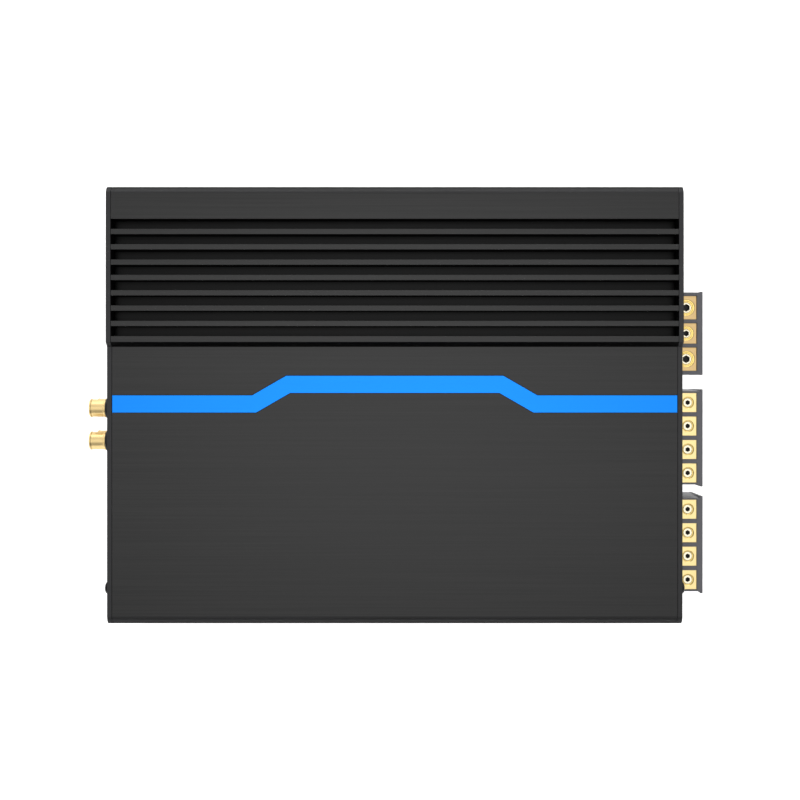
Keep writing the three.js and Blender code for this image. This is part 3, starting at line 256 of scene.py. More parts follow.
GLANCING = linear("#a8a8a8")  # black anodise reflects less of the light that skims along it than bare metal


def brushed_anodise():
    """Aluminium extrusion, brushed along its length and anodised black: fine straight lines over a satin
    dark grey. Real brush lines are about 0.1 mm wide, and they are drawn 0.7 mm wide so that they show."""
    return grained("brushed_anodise", "#363636", "#3c3c3c", (90, 0.7, 0.7), 0.002, (0.40, 0.46),
                   **{"Metallic": 1.0, "Specular Tint": GLANCING})


def plain_anodise():
    """The same black anodise on the side walls and inside, which aren't brushed: an etched, even satin with
    the faint lines of the extrusion die."""
    return grained("plain_anodise", "#353535", "#3a3a3b", (60, 1.2, 1.2), 0.003, (0.46, 0.52),
                   **{"Metallic": 1.0, "Specular Tint": GLANCING})


def channel_painted_shade():
    """Painted shade: the black satin anodise of the fin channels and the step, drawn darker because they lie
    in shade.
    """
    return grained("channel_painted_shade", "#161616", "#1a1a1a", (60, 1.2, 1.2), 0.002, (0.27, 0.33),
                   **{"Metallic": 1.0, "Specular Tint": GLANCING})


def panel_anodise():
    """Die-cut aluminium sheet, bead blasted and anodised black: a fine matt grain with no direction. The
    grit is 0.1 mm and is drawn at 0.35 mm."""
    return grained("panel_anodise", "#373738", "#3d3d3e", (0.35, 0.35, 0.35), 0.006, (0.42, 0.50),
                   **{"Metallic": 1.0, "Specular Tint": GLANCING})


def powder_coat():
    """Sheet steel under black powder coat: a soft orange peel of bumps about 0.8 mm across, nearly matt."""
    return grained("powder_coat", "#1d1e20", "#26272a", (0.8, 0.8, 0.8), 0.02, (0.50, 0.62), IOR=1.5)


def blue_anodise():
    """Aluminium trim strip, brushed along its length and dyed bright blue in the anodising bath: saturated,
    with the soft shine of the metal under the dye."""
    return grained("blue_anodise", "#1e83ec", "#2188f8", (40, 0.8, 0.8), 0.001, (0.38, 0.44), Metallic=1.0)


def moulded_grey():
    """Glass-filled polyamide, moulded in a sparked steel tool: dark grey with a fine even texture of about
    0.3 mm and a slight sheen."""
    return grained("moulded_grey", "#535357", "#5b5b60", (0.3, 0.3, 0.3), 0.004, (0.32, 0.42), IOR=1.5)


def moulded_black():
    """ABS, moulded black in a lightly textured tool: deep black, satin."""
    return grained("moulded_black", "#101011", "#171718", (0.4, 0.4, 0.4), 0.004, (0.36, 0.46),
                   **{"IOR": 1.53, "Specular IOR Level": 0.25})


def gold_plate():
    """Brass, turned and bright dipped, with a flash of gold: warm pale yellow, with faint turning marks about
    0.2 mm apart that soften its reflections."""
    return grained("gold_plate", "#dfc489", "#e9cf97", (0.5, 0.5, 0.2), 0.001, (0.34, 0.42), Metallic=1.0)


def gold_block():
    """The same plate on a sawn and tumbled brass block: a little paler and more matt."""
    return grained("gold_block", "#ceb07c", "#d8ba86", (0.6, 0.4, 0.4), 0.003, (0.34, 0.44), Metallic=1.0)


def gold_bright():
    """The same plate on the loudspeaker contacts: a paler, brighter yellow."""
    return grained("gold_bright", "#f0d996", "#f8e2a6", (0.6, 0.4, 0.4), 0.002, (0.30, 0.38), Metallic=1.0)


def gold_step_highlight():
    """The same plate on the countersink's flat steps, with turning marks, drawn brighter as a painted
    highlight.
    """
    return grained("gold_step_highlight", "#ecce78", "#fbe08c", (0.3, 0.3, 0.3), 0.001, (0.22, 0.28), Metallic=1.0)


def pale_plate():
    """Plated steel of the set screws: nearly white gold, bright."""
    return grained("pale_plate", "#ece2c4", "#f6eed6", (0.4, 0.4, 0.2), 0.001, (0.22, 0.30), Metallic=1.0)


def socket_painted_shade():
    """Painted shade: the inside of a set screw's socket drawn near black and dull, as the deep socket lies in
    shade.
    """
    return grained("socket_painted_shade", "#0e0d0c", "#161412", (0.3, 0.3, 0.5), 0.002, (0.50, 0.65), IOR=1.5)


def black_oxide():
    """Hardened steel screw, blackened in hot oxide and oiled: near black with a soft metal shine."""
    return grained("black_oxide", "#1c1c1d", "#2a2a2b", (0.5, 0.5, 0.5), 0.002, (0.28, 0.38), Metallic=1.0)


def solder_mask():
    """Glass-epoxy laminate under green solder mask: smooth, with the weave of about 0.6 mm just showing."""
    return grained("solder_mask", "#143d24", "#1c4d2e", (0.6, 0.6, 0.6), 0.003, (0.30, 0.40), IOR=1.5)


def tinted_fuse():
    """Polycarbonate, moulded in clear amber: glossy, and light passes through it."""
    return grained("tinted_fuse", "#c8791a", "#d88a28", (1.5, 1.5, 1.5), 0.001, (0.10, 0.16),
                   **{"IOR": 1.58, "Transmission Weight": 0.35})


def blue_lens():
    """Epoxy lamp lens, cast in clear blue: glossy."""
    return grained("blue_lens", "#1a5fe0", "#2f7dff", (1, 1, 1), 0.001, (0.06, 0.10),
                   **{"IOR": 1.52, "Transmission Weight": 0.3})


def white_nylon():
    """Natural nylon, moulded: slightly warm white, satin."""
    return grained("white_nylon", "#dcdad2", "#e8e6de", (0.5, 0.5, 0.5), 0.003, (0.38, 0.48), IOR=1.53)


def red_nylon():
    """Nylon, moulded red to mark the right channel: satin."""
    return grained("red_nylon", "#a5161a", "#b81e22", (0.5, 0.5, 0.5), 0.003, (0.36, 0.46), IOR=1.53)


def enamelled_copper():
    """Varnished copper wire in close turns: orange brown with a wet shine, each turn about 1 mm wide."""
    return grained("enamelled_copper", "#7a3f18", "#b5662f", (1, 1, 8), 0.08, (0.20, 0.32), Metallic=1.0)


def shrink_sleeve():
    """PVC sleeve shrunk on a capacitor can: dark blue, glossy."""
    return grained("shrink_sleeve", "#182a5c", "#20356e", (2, 2, 2), 0.004, (0.20, 0.28), IOR=1.54)


def milled_aluminium():
    """Bare aluminium, milled: light grey with cutter marks about 0.5 mm apart."""
    return grained("milled_aluminium", "#a3a5a8", "#bcbec0", (0.5, 6, 6), 0.003, (0.32, 0.42), Metallic=1.0)


def tinned_metal():
    """Tin-plated copper: bright grey, slightly frosted."""
    return grained("tinned_metal", "#b5b5b4", "#cbcbc9", (0.6, 0.6, 0.6), 0.002, (0.24, 0.34), Metallic=1.0)


def white_print():
    """White two-part ink, pad printed: flat and matt."""
    return grained("white_print", "#c9c9c7", "#d6d6d4", (0.4, 0.4, 0.4), 0.001, (0.50, 0.60), IOR=1.48)


BRUSHED = brushed_anodise()
ANODISE = plain_anodise()
# painted shade for the fin channels and the step
CHANNEL_SHADE = channel_painted_shade()
PANEL = panel_anodise()
POWDER = powder_coat()
BLUE = blue_anodise()
GREY = moulded_grey()
BLACK = moulded_black()
GOLD = gold_plate()
GOLD_BLOCK = gold_block()
GOLD_BRIGHT = gold_bright()
# painted highlight: a brighter copy of the plate for the countersinks' flat steps
GOLD_HIGHLIGHT = gold_step_highlight()
PALE = pale_plate()
SOCKET_SHADE = socket_painted_shade()
# painted shade for the inside of the set screws' sockets
OXIDE = black_oxide()
BOARD = solder_mask()
AMBER = tinted_fuse()
LENS = blue_lens()
WHITE = white_nylon()
RED = red_nylon()
COPPER = enamelled_copper()
SLEEVE = shrink_sleeve()
MILLED = milled_aluminium()
TINNED = tinned_metal()
INK = white_print()


# ---------------------------------------------------------------- case
def rounded_corner(centre_y, centre_z, start, end):
    """Points of a quarter turn of the case's edge, with angles in degrees from +Y."""
    points = []
    for i in range(ARC_STEPS + 1):
        turn = math.radians(start + (end - start) * i / ARC_STEPS)
        points.append((centre_y + EDGE_RADIUS * math.cos(turn), centre_z + EDGE_RADIUS * math.sin(turn)))
    return points


def over_the_top(channels):
    """The outside of the case from the -Y foot to the +Y foot, with or without the fin channels."""
    points = [(-SIDE, 0)]
    points += rounded_corner(-SIDE + EDGE_RADIUS, FLAT_HEIGHT - EDGE_RADIUS, 180, 90)
    points += [(STEP_BOTTOM_Y, FLAT_HEIGHT), (STEP_TOP_Y, FIN_HEIGHT)]
    if channels:
        for i in reversed(range(CHANNEL_COUNT)):
            far = FIRST_CHANNEL - i * CHANNEL_PITCH
            near = far - CHANNEL_WIDTH
            floor = FIN_HEIGHT - CHANNEL_DEPTH
            points += [(near, FIN_HEIGHT), (near, floor), (far, floor), (far, FIN_HEIGHT)]
    points += rounded_corner(SIDE - EDGE_RADIUS, FIN_HEIGHT - EDGE_RADIUS, 90, 0)
    return points + [(SIDE, 0)]


def stripe_outline(reach, margin=0.0):
    """The stripe from above, grown by a margin on its long edges."""
    middle_top, end_bottom = STRIPE_HIGH.y + margin, STRIPE_LOW.y - margin
    middle_bottom = middle_top - STRIPE_WIDTH - 2 * margin
    end_top = end_bottom + STRIPE_WIDTH + 2 * margin
    outer_low = STRIPE_BEND_OUTER - STRIPE_BEND_SHIFT
    inner_low = STRIPE_BEND_INNER - STRIPE_BEND_SHIFT
    return [
        (-reach, end_bottom), (-outer_low, end_bottom), (-inner_low, middle_bottom),
        (inner_low, middle_bottom), (outer_low, end_bottom), (reach, end_bottom),
        (reach, end_top), (STRIPE_BEND_OUTER, end_top),
        (STRIPE_BEND_INNER, middle_top), (-STRIPE_BEND_INNER, middle_top), (-STRIPE_BEND_OUTER, end_top),
        (-reach, end_top),
    ]


def make_extrusion():
    """The finned extrusion, open below. Faces on top are brushed, the channels and the step take painted
    shade (the same anodise drawn darker), and all others are plain anodise."""
    inner_side = SIDE - SIDE_WALL
    inner_top = FIN_HEIGHT - CHANNEL_DEPTH - SIDE_WALL
    inside = [(inner_side, 0), (inner_side, inner_top), (-inner_side, inner_top), (-inner_side, 0)]
    outline = over_the_top(channels=True) + inside
    reach = EXTRUSION_HIGH.x + SEAM_COVER
    piece = prism("heatsink_extrusion_finished", outline, -reach, reach, "X")
    around = stripe_outline(PANEL_FACE, GROOVE_GAP)
    groove = prism("groove", around, STRIPE_LOW.z - GROOVE_GAP, FIN_HEIGHT, "Z")
    carve(piece, groove)
    fit(soften(piece, 0.18 * MM, 2, 40), [BRUSHED, ANODISE, CHANNEL_SHADE], node="heatsink_extrusion")
    for polygon in piece.data.polygons:
        at = polygon.center
        # the channels' walls and floors and the step take the darker copy of the anodise: painted shade
        in_shaded_channel = STEP_BOTTOM_Y < at.y < FIRST_CHANNEL + MM and at.z < FIN_HEIGHT - 0.3 * MM
        if polygon.normal.z > 0.99 and at.z > FLAT_HEIGHT - 0.01 * MM:
            polygon.material_index = 0
        elif in_shaded_channel and at.z > FIN_HEIGHT - CHANNEL_DEPTH - 0.01 * MM:
            polygon.material_index = 2
        else:
            polygon.material_index = 1


def make_stripe():
    outline = stripe_outline(EXTRUSION_HIGH.x)
    piece = prism("accent_stripe_finished", outline, STRIPE_LOW.z, STRIPE_HIGH.z, "Z")
    fit(soften(piece, 0.05 * MM, 1), BLUE, node="accent_stripe")


def rod(along, centre, start, end, radius, steps=48):
    """A plain round cutter from start to end along its axis."""
    rings = [(0, start), (radius, start), (radius, end), (0, end)]
    return turned("rod", rings, along, centre, steps)


def middle(node):
    low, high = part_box(node)
    return (low + high) / 2


PANEL_SCREWS = {end: [middle(f"{end}_panel_screw_{i}") for i in range(1, 5)] for end in ("input", "output")}
SCREW_HOLE = 1.8 * MM
COLLAR_HOLE = 5.15 * MM
KNOB_HOLE = 4.9 * MM
LAMP_HOLE = 1.65 * MM
WINDOW_GAP = 0.3 * MM
SLOT_HALF_LENGTH = 4.9 * MM
SLOT_HALF_HEIGHT = 2.1 * MM
KNOBS = ["gain_knob_front", "crossover_knob_front", "gain_knob_rear", "crossover_knob_rear"]
SWITCHES = ["crossover_switch_front", "crossover_switch_rear"]
JACKS = [f"phono_shell_{i}" for i in range(1, 5)]
HOUSINGS = ["power_terminal_housing", "speaker_terminal_housing_front", "speaker_terminal_housing_rear"]
FUSES = ["blade_fuse_1", "blade_fuse_2"]


def panel_blank(name, start, end, screws):
    """An end panel of the case's outline with its four screw holes."""
    piece = prism(name, over_the_top(channels=False), start, end, "X")
    holes = [rod("X", (0, s.y, s.z), start - MM, end + MM, SCREW_HOLE) for s in screws]
    return carve(piece, *holes)


def window(node, margin, start, end):
    """A cutter around a node's outline, seen along X."""
    low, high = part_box(node)
    return block("window", (start, low.y - margin, low.z - margin), (end, high.y + margin, high.z + margin))


def make_input_panel():
    start, end = -PANEL_FACE - MM, -PANEL_BACK + MM
    piece = panel_blank("input_end_panel_finished", -PANEL_FACE, -PANEL_BACK, PANEL_SCREWS["input"])
    cutters = [rod("X", (0, middle(j).y, middle(j).z), start, end, COLLAR_HOLE) for j in JACKS]
    cutters += [rod("X", (0, middle(k).y, middle(k).z), start, end, KNOB_HOLE) for k in KNOBS]
    lamp = middle("power_lamp")
    cutters.append(rod("X", (0, lamp.y, lamp.z), start, end, LAMP_HOLE))
    cutters.append(window("high_level_input_socket", WINDOW_GAP, start, end))
    for switch in SWITCHES:
        at = middle(switch)
        low_corner = (start, at.y - SLOT_HALF_LENGTH, at.z - SLOT_HALF_HEIGHT)
        cutters.append(block("slot", low_corner, (end, at.y + SLOT_HALF_LENGTH, at.z + SLOT_HALF_HEIGHT)))
    carve(piece, *cutters)
    fit(soften(piece, 0.16 * MM, 2, 40), PANEL, node="input_end_panel")


def make_output_panel():
    start, end = PANEL_BACK - MM, PANEL_FACE + MM
    piece = panel_blank("output_end_panel_finished", PANEL_BACK, PANEL_FACE, PANEL_SCREWS["output"])
    cutters = []
    for housing in HOUSINGS:
        low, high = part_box(housing)
        bottom = high.z - TERMINAL_HEIGHT
        low_corner = (start, low.y - WINDOW_GAP, bottom - WINDOW_GAP)
        cutters.append(block("window", low_corner, (end, high.y + WINDOW_GAP, high.z + WINDOW_GAP)))
    cutters += [window(fuse, WINDOW_GAP, start, end) for fuse in FUSES]
    carve(piece, *cutters)
    fit(soften(piece, 0.16 * MM, 2, 40), PANEL, node="output_end_panel")


def pan_head_rings(out):
    """A domed screw head and its shank. out is 1 for a head that points to +X and -1 for -X."""
    radius, height, edge = 2.9 * MM, 2.2 * MM, 0.66 * MM
    shank, tip, seat = 1.5 * MM, -10 * MM * out, 0.2 * MM * out
    rings = [(0, tip), (shank, tip), (shank, seat), (radius, seat)]
    for i in range(9):
        turn = math.pi / 2 * i / 8
        reach = radius * math.sqrt(math.cos(turn)) if i < 8 else 0
        rings.append((reach, (edge + (height - edge) * math.sin(turn)) * out))
    return rings


def make_panel_screws():
    """Pan-head screws with a tapered cross recess."""
    for end, out in (("output", 1), ("input", -1)):
        for i, at in enumerate(PANEL_SCREWS[end], 1):
            node = f"{end}_panel_screw_{i}"
            centre = (PANEL_FACE * out, at.y, at.z)
            piece = turned(node + "_finished", pan_head_rings(out), "X", centre)
            deep, top = PANEL_FACE * out + 0.9 * MM * out, PANEL_FACE * out + 3 * MM * out
            for half_y, half_z in ((1.6, 0.4), (0.4, 1.6)):
                low = (min(deep, top), at.y - half_y * MM, at.z - half_z * MM)
                high = (max(deep, top), at.y + half_y * MM, at.z + half_z * MM)
                carve(piece, block("cross", low, high))
            fit(soften(piece, 0.12 * MM, 2, 40), OXIDE, node=node)


def make_bottom():
    """The bottom plate and its six countersunk screws, which the frame leaves as holes."""
    copied("bottom_plate", POWDER, 0.15 * MM)
    ledge = SIDE - SIDE_WALL - 4 * MM
    reach = PANEL_FACE - 22 * MM
    for i, x in enumerate((-reach, 0, reach)):
        for side in (-1, 1):
            tip, shank, head = 5 * MM, 1.4 * MM, 2.75 * MM
            rings = [(0, tip), (shank, tip), (shank, 1.5 * MM), (head, 0.15 * MM), (0, 0.1 * MM)]
            piece = turned(f"plate_screw_{i * 2 + (side + 3) // 2}", rings, "Z", (x, side * ledge, 0), 32)
            for half_x, half_y in ((1.4, 0.35), (0.35, 1.4)):
                low = (x - half_x * MM, side * ledge - half_y * MM, -MM)
                high = (x + half_x * MM, side * ledge + half_y * MM, 1.2 * MM)
                carve(piece, block("cross", low, high))
            fit(soften(piece, 0.08 * MM, 1, 40), OXIDE)


# ---------------------------------------------------------------- terminals
TERMINAL_HEIGHT = 22 * MM
WIRE_BELOW_TOP = 5.8 * MM
FLANGE_STEP = 0.3 * MM
DRAFT = 0.85 * MM  # each side of a loudspeaker block leans in by this much from its foot to its top
POWER_DRAFT = 0.2 * MM
CELL_GAP = 0.08 * MM
CONE = 0.2 * MM  # width of the sloped rings between the flat steps round a set screw
CONTACT_SHRINK = 0.15 * MM  # the contacts are this much narrower on each side than their spaces


def terminal_sets():
    """Each housing with its pairs of a contact and a set screw."""
    power = [(f"power_contact_{i}", f"power_set_screw_{i}") for i in range(1, 4)]
    speaker = [(f"speaker_contact_{i}", f"speaker_set_screw_{i}") for i in range(1, 9)]
    return [(HOUSINGS[0], power), (HOUSINGS[1], speaker[:4]), (HOUSINGS[2], speaker[4:])]


TERMINAL_SIZES = {  # wire width, wire height, hexagon across flats, countersink radius, all in mm
    "outer": (7.6, 7.2, 3.0, 3.9),
    "remote": (6.0, 7.2, 2.3, 3.5),
    "speaker": (5.4, 5.6, 1.9, 2.8),
}


def terminal_kind(contact):
    if contact.startswith("speaker"):
        return TERMINAL_SIZES["speaker"]
    return TERMINAL_SIZES["remote" if contact == "power_contact_2" else "outer"]


def wire_space(contact, start, end):
    """A cutter for the wire entry that runs along X through a contact's level."""
    wide, tall = (size * MM for size in terminal_kind(contact)[:2])
    low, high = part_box(contact)
    y, top = (low.y + high.y) / 2, high.z - WIRE_BELOW_TOP
    return block("wire", (start, y - wide / 2, top - tall), (end, y + wide / 2, top))


def make_housing(node, contacts):
    """A moulded comb: open cells on top, wire entries in front and a flange round its front wall."""
    low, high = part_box(node)
    back, step, front = PANEL_BACK - 4 * MM, high.x - 1.4 * MM, high.x
    draft = POWER_DRAFT if node == "power_terminal_housing" else DRAFT
    y0, y1 = low.y + 0.1 * MM, high.y - 0.1 * MM
    outline = [
        (back, y0), (step, y0), (step + FLANGE_STEP, low.y), (front, low.y),
        (front, high.y), (step + FLANGE_STEP, high.y), (step, y1), (back, y1),
    ]
    piece = prism(node + "_finished", outline, high.z - TERMINAL_HEIGHT, high.z, "Z")
    for vertex in piece.data.vertices:
        if vertex.co.z > high.z - MM and vertex.co.x < step + FLANGE_STEP / 2:
            vertex.co.y += draft if vertex.co.y < (y0 + y1) / 2 else -draft
    cutters = []
    for contact, _ in contacts:
        cell_low, cell_high = contact_box(contact)
        gap = Vector((CELL_GAP, CELL_GAP, CELL_GAP))
        top = Vector((cell_high.x + CELL_GAP, cell_high.y + CELL_GAP, high.z + MM))
        cutters.append(block("cell", cell_low - gap, top))
        cutters.append(wire_space(contact, cell_high.x - MM, front + MM))
    carve(piece, *cutters)
    fit(soften(piece, 0.3 * MM, 3, 40), GREY, node=node)


def contact_box(contact):
    """A contact's corners, with its width taken in a little."""
    low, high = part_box(contact)
    shrink = Vector((0, CONTACT_SHRINK, 0))
    return low + shrink, high - shrink


def make_contact(node, screw):
    """A plated block with a wire bore from the front, and two flat steps down to its set screw on top."""
    low, high = contact_box(node)
    at = middle(screw)
    sink = terminal_kind(node)[3] * MM
    hole = (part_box(screw)[1].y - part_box(screw)[0].y) / 2 + 0.1 * MM
    piece = block(node + "_finished", low, high)
    top = high.z
    ledge = hole + 0.35 * (sink - hole)
    rings = [
        (0, top - 9 * MM), (hole, top - 9 * MM), (hole, top - 0.5 * MM), (ledge, top - 0.47 * MM),
        (ledge + CONE, top - 0.22 * MM), (sink - CONE, top - 0.2 * MM), (sink, top), (sink, top + MM),
        (0, top + MM),
    ]
    cutter = turned("countersink", rings, "Z", (at.x, at.y, 0))
    carve(piece, cutter, wire_space(node, PANEL_FACE - MM, high.x + MM))
    body = GOLD_BLOCK if node.startswith("power") else GOLD_BRIGHT
    fit(soften(piece, 0.05 * MM, 2, 25), [body, GOLD_HIGHLIGHT], node=node)
    # The countersink's flat steps face up and take the brighter gold: a painted highlight of the light they
    # catch.
    for polygon in piece.data.polygons:
        away = (polygon.center - Vector((at.x, at.y, polygon.center.z))).length
        if polygon.normal.z > 0.9 and polygon.center.z < top - 0.01 * MM and away < sink:
            polygon.material_index = 1


def hexagon(across_flats):
    """A ring of six flats with a corner towards +Y."""
    def reach(turn):
        part = (turn + math.pi / 6) % (math.pi / 3) - math.pi / 6
        return across_flats / 2 / math.cos(part)
    return reach


def make_set_screw(node, contact):
    """A cup-point socket screw: a bright chamfer round a deep hexagon socket."""
    low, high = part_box(node)
    at = (low + high) / 2
    radius = (high.y - low.y) / 2
    flats = terminal_kind(contact)[2] * MM
    socket = hexagon(flats)
    rim = hexagon(flats * 1.05)
    rings = [
        (0, low.z + 0.4 * MM), (radius - 0.9 * MM, low.z), (radius - 0.5 * MM, low.z),
        (radius, low.z + 0.5 * MM), (radius, high.z - 0.18 * MM), (radius - 0.12 * MM, high.z),
        (rim, high.z), (socket, high.z - 0.1 * MM), (socket, high.z - 2.2 * MM), (0, high.z - 2.5 * MM),
    ]
    piece = turned(node + "_finished", rings, "Z", (at.x, at.y, 0), 48)
    fit(soften(piece, 0.05 * MM, 2, 25), [PALE, SOCKET_SHADE], node, node)
    # The socket's inner faces take the near-black finish: painted shade for the deep socket.
    for polygon in piece.data.polygons:
        in_socket_shade = (polygon.center - at).xy.length < flats * 0.59 and polygon.center.z > high.z - 3 * MM
        polygon.material_index = 1 if in_socket_shade else 0


def make_terminals():
    for housing, pairs in terminal_sets():
        make_housing(housing, pairs)
        for contact, screw in pairs:
            make_contact(contact, screw)
            make_set_screw(screw, contact)


# ---------------------------------------------------------------- fuses
def make_fuses():
    """Clear amber blade fuses with their tinned blades and a small test hole in front of each blade."""
    copied("fuse_holder", BLACK, 0.25 * MM)
    for node in FUSES:
        low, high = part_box(node)
        y, z = (low.y + high.y) / 2, (low.z + high.z) / 2
        body_back = high.x - 11.5 * MM
        shell = block(node + "_finished", (body_back, low.y, low.z), (high.x, high.y, high.z))
        for side in (-1, 1):
            face = y + side * 2.55 * MM
            inner = face - side * 0.9 * MM
            outside = face + side * MM
            waist_low = (body_back - MM, min(inner, outside), z - 5.9 * MM)
            waist_high = (high.x - 5.2 * MM, max(inner, outside), z + 5.9 * MM)
            carve(shell, block("waist", waist_low, waist_high))
        for offset in (-5.7, 5.7):
            probe = (high.x - 0.9 * MM, y - 0.9 * MM, z + (offset - 0.9) * MM)
            carve(shell, block("probe", probe, (high.x + MM, y + 0.9 * MM, z + (offset + 0.9) * MM)))
        fit(soften(shell, 0.45 * MM, 3, 40), AMBER, node, node)
        for number, offset in enumerate((-5.7, 5.7), 1):
            blade_low = (low.x, y - 0.35 * MM, z + (offset - 2.6) * MM)
            blade_high = (body_back + MM, y + 0.35 * MM, z + (offset + 2.6) * MM)
            blade = block(f"{node}_blade_{number}", blade_low, blade_high)
            fit(soften(blade, 0.2 * MM, 2), TINNED, node)


# ---------------------------------------------------------------- phono jacks
def make_jacks():
    """Gold shells over two red and two white insulators, in black collars."""
    block_low, block_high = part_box("phono_jack_block")
    back = -PANEL_BACK + 0.3 * MM
    body = block("phono_jack_block_finished", (back, block_low.y, block_low.z), block_high)
    fit(soften(body, 0.5 * MM, 3), BLACK, node="phono_jack_block")
    for i, node in enumerate(JACKS, 1):
        low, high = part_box(node)
        at = middle(node)
        centre = (low.x, at.y, at.z)
        outer, wall = 4.15 * MM, 0.6 * MM
        inner = outer - wall
        flange = 7.7 * MM
        shell = [
            (inner, 0.25 * MM), (inner + 0.2 * MM, 0), (outer - 0.1 * MM, 0), (outer + 0.2 * MM, 0.3 * MM),
            (outer + 0.2 * MM, 0.8 * MM), (outer, 1.1 * MM), (outer, flange - 0.95 * MM),
            (outer + 0.25 * MM, flange - 0.7 * MM), (outer + 0.25 * MM, flange), (outer, flange),
            (outer, high.x - low.x), (inner, high.x - low.x), (inner, 0.25 * MM),
        ]
        piece = turned(node + "_finished", shell, "X", centre, 64)
        fit(soften(piece, 0.12 * MM, 2, 25), GOLD, node=node)
        seat = outer + 0.15 * MM
        collar_front = 7.85 * MM
        collar = [
            (seat, collar_front), (4.7 * MM, collar_front), (5 * MM, collar_front + 0.3 * MM),
            (5 * MM, back - low.x), (3 * MM, back - low.x), (3 * MM, collar_front + 2.15 * MM),
            (seat, collar_front + 2.15 * MM), (seat, collar_front),
        ]
        piece = turned(f"phono_collar_{i}", collar, "X", centre, 64)
        fit(soften(piece, 0.1 * MM, 2, 25), BLACK)
        post = [
            (1.6 * MM, 1.4 * MM), (3.2 * MM, 1.4 * MM), (3.38 * MM, 1.6 * MM), (3.38 * MM, 9.6 * MM),
            (1.6 * MM, 9.6 * MM), (1.6 * MM, 1.4 * MM),
        ]
        piece = turned(f"phono_insulator_{i}", post, "X", centre, 48)
        fit(soften(piece, 0.08 * MM, 2, 25), RED if i % 2 else WHITE)
        sleeve = [(1.15 * MM, 1.9 * MM), (1.55 * MM, 1.9 * MM), (1.55 * MM, 9 * MM), (0, 9 * MM)]
        piece = turned(f"phono_centre_contact_{i}", sleeve, "X", centre, 32)
        fit(soften(piece, 0.04 * MM, 1, 25), GOLD)


# ---------------------------------------------------------------- controls
def knurl(radius, flutes, depth):
    """A ring with rounded flutes."""
    def reach(turn):
        return radius - depth * (0.5 - 0.5 * math.cos(flutes * turn))
    return reach


def make_knobs():
    """Moulded knobs with fine flutes, a dished face and a white pointer."""
    for node in KNOBS:
        low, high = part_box(node)
        at = middle(node)
        centre = (low.x, at.y, at.z)
        grip = knurl(4.5 * MM, 20, 0.4 * MM)
        rings = [
            (0, 0.35 * MM), (3.2 * MM, 0.25 * MM), (3.6 * MM, 0), (4.0 * MM, 0), (grip, 0.35 * MM),
            (grip, 4.2 * MM), (4.0 * MM, 4.6 * MM), (3 * MM, 4.6 * MM), (3 * MM, high.x - low.x),
            (0, high.x - low.x),
        ]
        piece = turned(node + "_finished", rings, "X", centre, 120)
        fit(soften(piece, 0.08 * MM, 2, 30), BLACK, node, node)
        pointer = block(node + "_pointer", (low.x + 0.02 * MM, at.y - 0.3 * MM, at.z + 0.8 * MM),
                        (low.x + 0.45 * MM, at.y + 0.3 * MM, at.z + 3.4 * MM))
        fit(soften(pointer, 0.06 * MM, 2), INK, node)


def make_dials():
    """Printed ticks round each knob: eleven, over the 280 degrees that it turns."""
    for node in KNOBS:
        at = middle(node)
        shape = bmesh.new()
        for i in range(11):
            turn = math.radians(-140 + 28 * i)
            long = 1.5 if i in (0, 5, 10) else 0.9
            side = Vector((0, math.cos(turn), -math.sin(turn)))
            up = Vector((0, math.sin(turn), math.cos(turn)))
            base = Vector((-PANEL_FACE - 0.03 * MM, at.y, at.z))
            near, far, half = 6.1 * MM, (6.1 + long) * MM, 0.16 * MM
            corners = [base + up * near - side * half, base + up * near + side * half,
                       base + up * far + side * half, base + up * far - side * half]
            front = [shape.verts.new(corner) for corner in corners]
            rear = [shape.verts.new(corner + Vector((0.05 * MM, 0, 0))) for corner in corners]
            shape.faces.new(front)
            shape.faces.new(rear[::-1])
            for j in range(4):
                k = (j + 1) % 4
                shape.faces.new([front[j], rear[j], rear[k], front[k]])
        fit(from_bmesh(node + "_dial", shape), INK)


def make_switches():
    for node in SWITCHES:
        copied(node, BLACK, 0.15 * MM, node)


def make_lamp():
    low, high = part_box("power_lamp")
    at = middle("power_lamp")
    radius, reach = 1.5 * MM, 1.2 * MM
    rings = [(0, 0)]
    for i in range(1, 9):
        turn = math.pi / 2 * i / 8
        rings.append((radius * math.sin(turn), reach * (1 - math.cos(turn))))
    rings += [(radius, high.x - low.x), (0, high.x - low.x)]
    piece = turned("power_lamp_finished", rings, "X", (low.x, at.y, at.z), 40)
    fit(soften(piece, 0.02 * MM, 1, 60), LENS, node="power_lamp")


def make_socket():
    """The high-level input socket with two rows of plated pins."""
    copied("high_level_input_socket", WHITE, 0.25 * MM)
    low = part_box("high_level_input_socket")[0]
    at = middle("high_level_input_socket")
    number = 1
    for row in (-1, 1):
        for column in range(4):
            y, z = at.y + (column - 1.5) * 3.4 * MM, at.z + row * 1.7 * MM
            half = 0.32 * MM
            tip = (low.x + 2.2 * MM, y - half, z - half)
            pin = block(f"socket_pin_{number}", tip, (low.x + 9.6 * MM, y + half, z + half))
            fit(soften(pin, 0.14 * MM, 2), GOLD)
            number += 1


# ---------------------------------------------------------------- inside
def make_inside():
    copied("main_circuit_board", BOARD, 0.1 * MM)
    copied("control_board", BOARD, 0.15 * MM)
    copied("toroid_transformer", COPPER, 0.2 * MM)
    copied("reservoir_capacitor_1", SLEEVE, 0.4 * MM)
    copied("reservoir_capacitor_2", SLEEVE, 0.4 * MM)
    copied("output_transistor_bank", MILLED, 0.2 * MM)


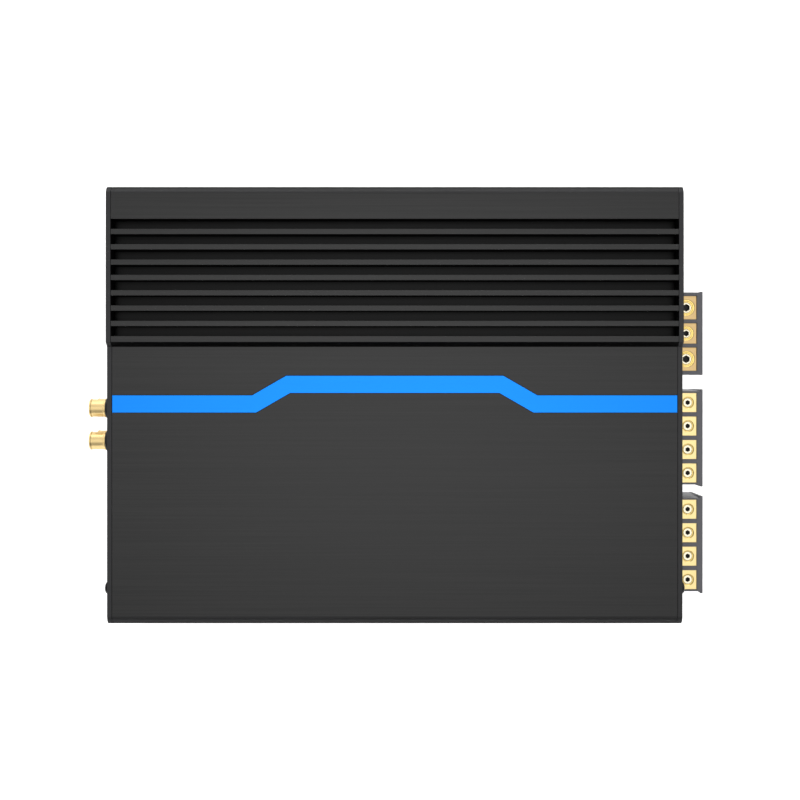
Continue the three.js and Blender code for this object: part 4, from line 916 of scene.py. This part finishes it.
# ---------------------------------------------------------------- studio
def studio_floor():
    """A round white table that curves up into a low wall, glowing a little like a lit light table."""
    material = grained("studio_floor", "#f4f4f4", "#f6f6f6", (400, 400, 400), 0.0, (0.8, 0.9),
                       **{"IOR": 1.2, "Emission Color": linear("#ffffff"), "Emission Strength": 0.7})
    curve = [(0, 0), (1, 0), (2.5, 0)]
    bend = 0.9
    for turn in (0.2, 0.4, 0.6, 0.8, 1.0, 1.2, 1.4):
        curve.append((2.5 + bend * math.sin(turn), bend - bend * math.cos(turn)))
    curve += [(3.4, 1.6), (3.5, 1.6), (3.5, -0.2), (0, -0.2)]
    floor = turned("studio_floor", curve, "Z", (0, 0, -0.2 * MM), 96)
    for polygon in floor.data.polygons:
        polygon.use_smooth = True
    floor.data.materials.append(material)


def studio_light(name, place, size, power, aim=(0, 0, 0)):
    data = bpy.data.lights.new(name, "AREA")
    data.shape = "RECTANGLE"
    data.size, data.size_y = size
    data.energy = power
    light = bpy.data.objects.new(name, data)
    bpy.context.scene.collection.objects.link(light)
    light.location = place
    light.rotation_euler = (Vector(aim) - Vector(place)).to_track_quat("-Z", "Y").to_euler()


def studio():
    scene = bpy.context.scene
    scene.view_settings.view_transform = "Standard"
    world = bpy.data.worlds.new("studio_air")
    scene.world = world
    world.use_nodes = True
    backdrop = world.node_tree.nodes["Background"]
    backdrop.inputs["Color"].default_value = linear("#ffffff")
    backdrop.inputs["Strength"].default_value = 0.33
    studio_floor()
    studio_light("overhead_softbox", (0, 0.6, 1.6), (2.8, 3.8), 20.5)
    studio_light("centre_softbox", (0, -0.04, 1.58), (0.9, 0.9), 3.0)
    studio_light("back_softbox", (0, 1.9, 0.8), (2.4, 1.0), 10)


def camera():
    data = bpy.data.cameras.new("camera")
    data.lens = 54.9
    data.sensor_width = 36
    data.shift_y = -0.02625
    data.clip_start = 0.05
    view = bpy.data.objects.new("camera", data)
    bpy.context.scene.collection.objects.link(view)
    view.location = (2.4 * MM, 12.25 * MM, 607 * MM)
    bpy.context.scene.camera = view


make_extrusion()
make_stripe()
make_input_panel()
make_output_panel()
make_panel_screws()
make_bottom()
make_terminals()
make_fuses()
make_jacks()
make_knobs()
make_dials()
make_switches()
make_lamp()
make_socket()
make_inside()
studio()
camera()
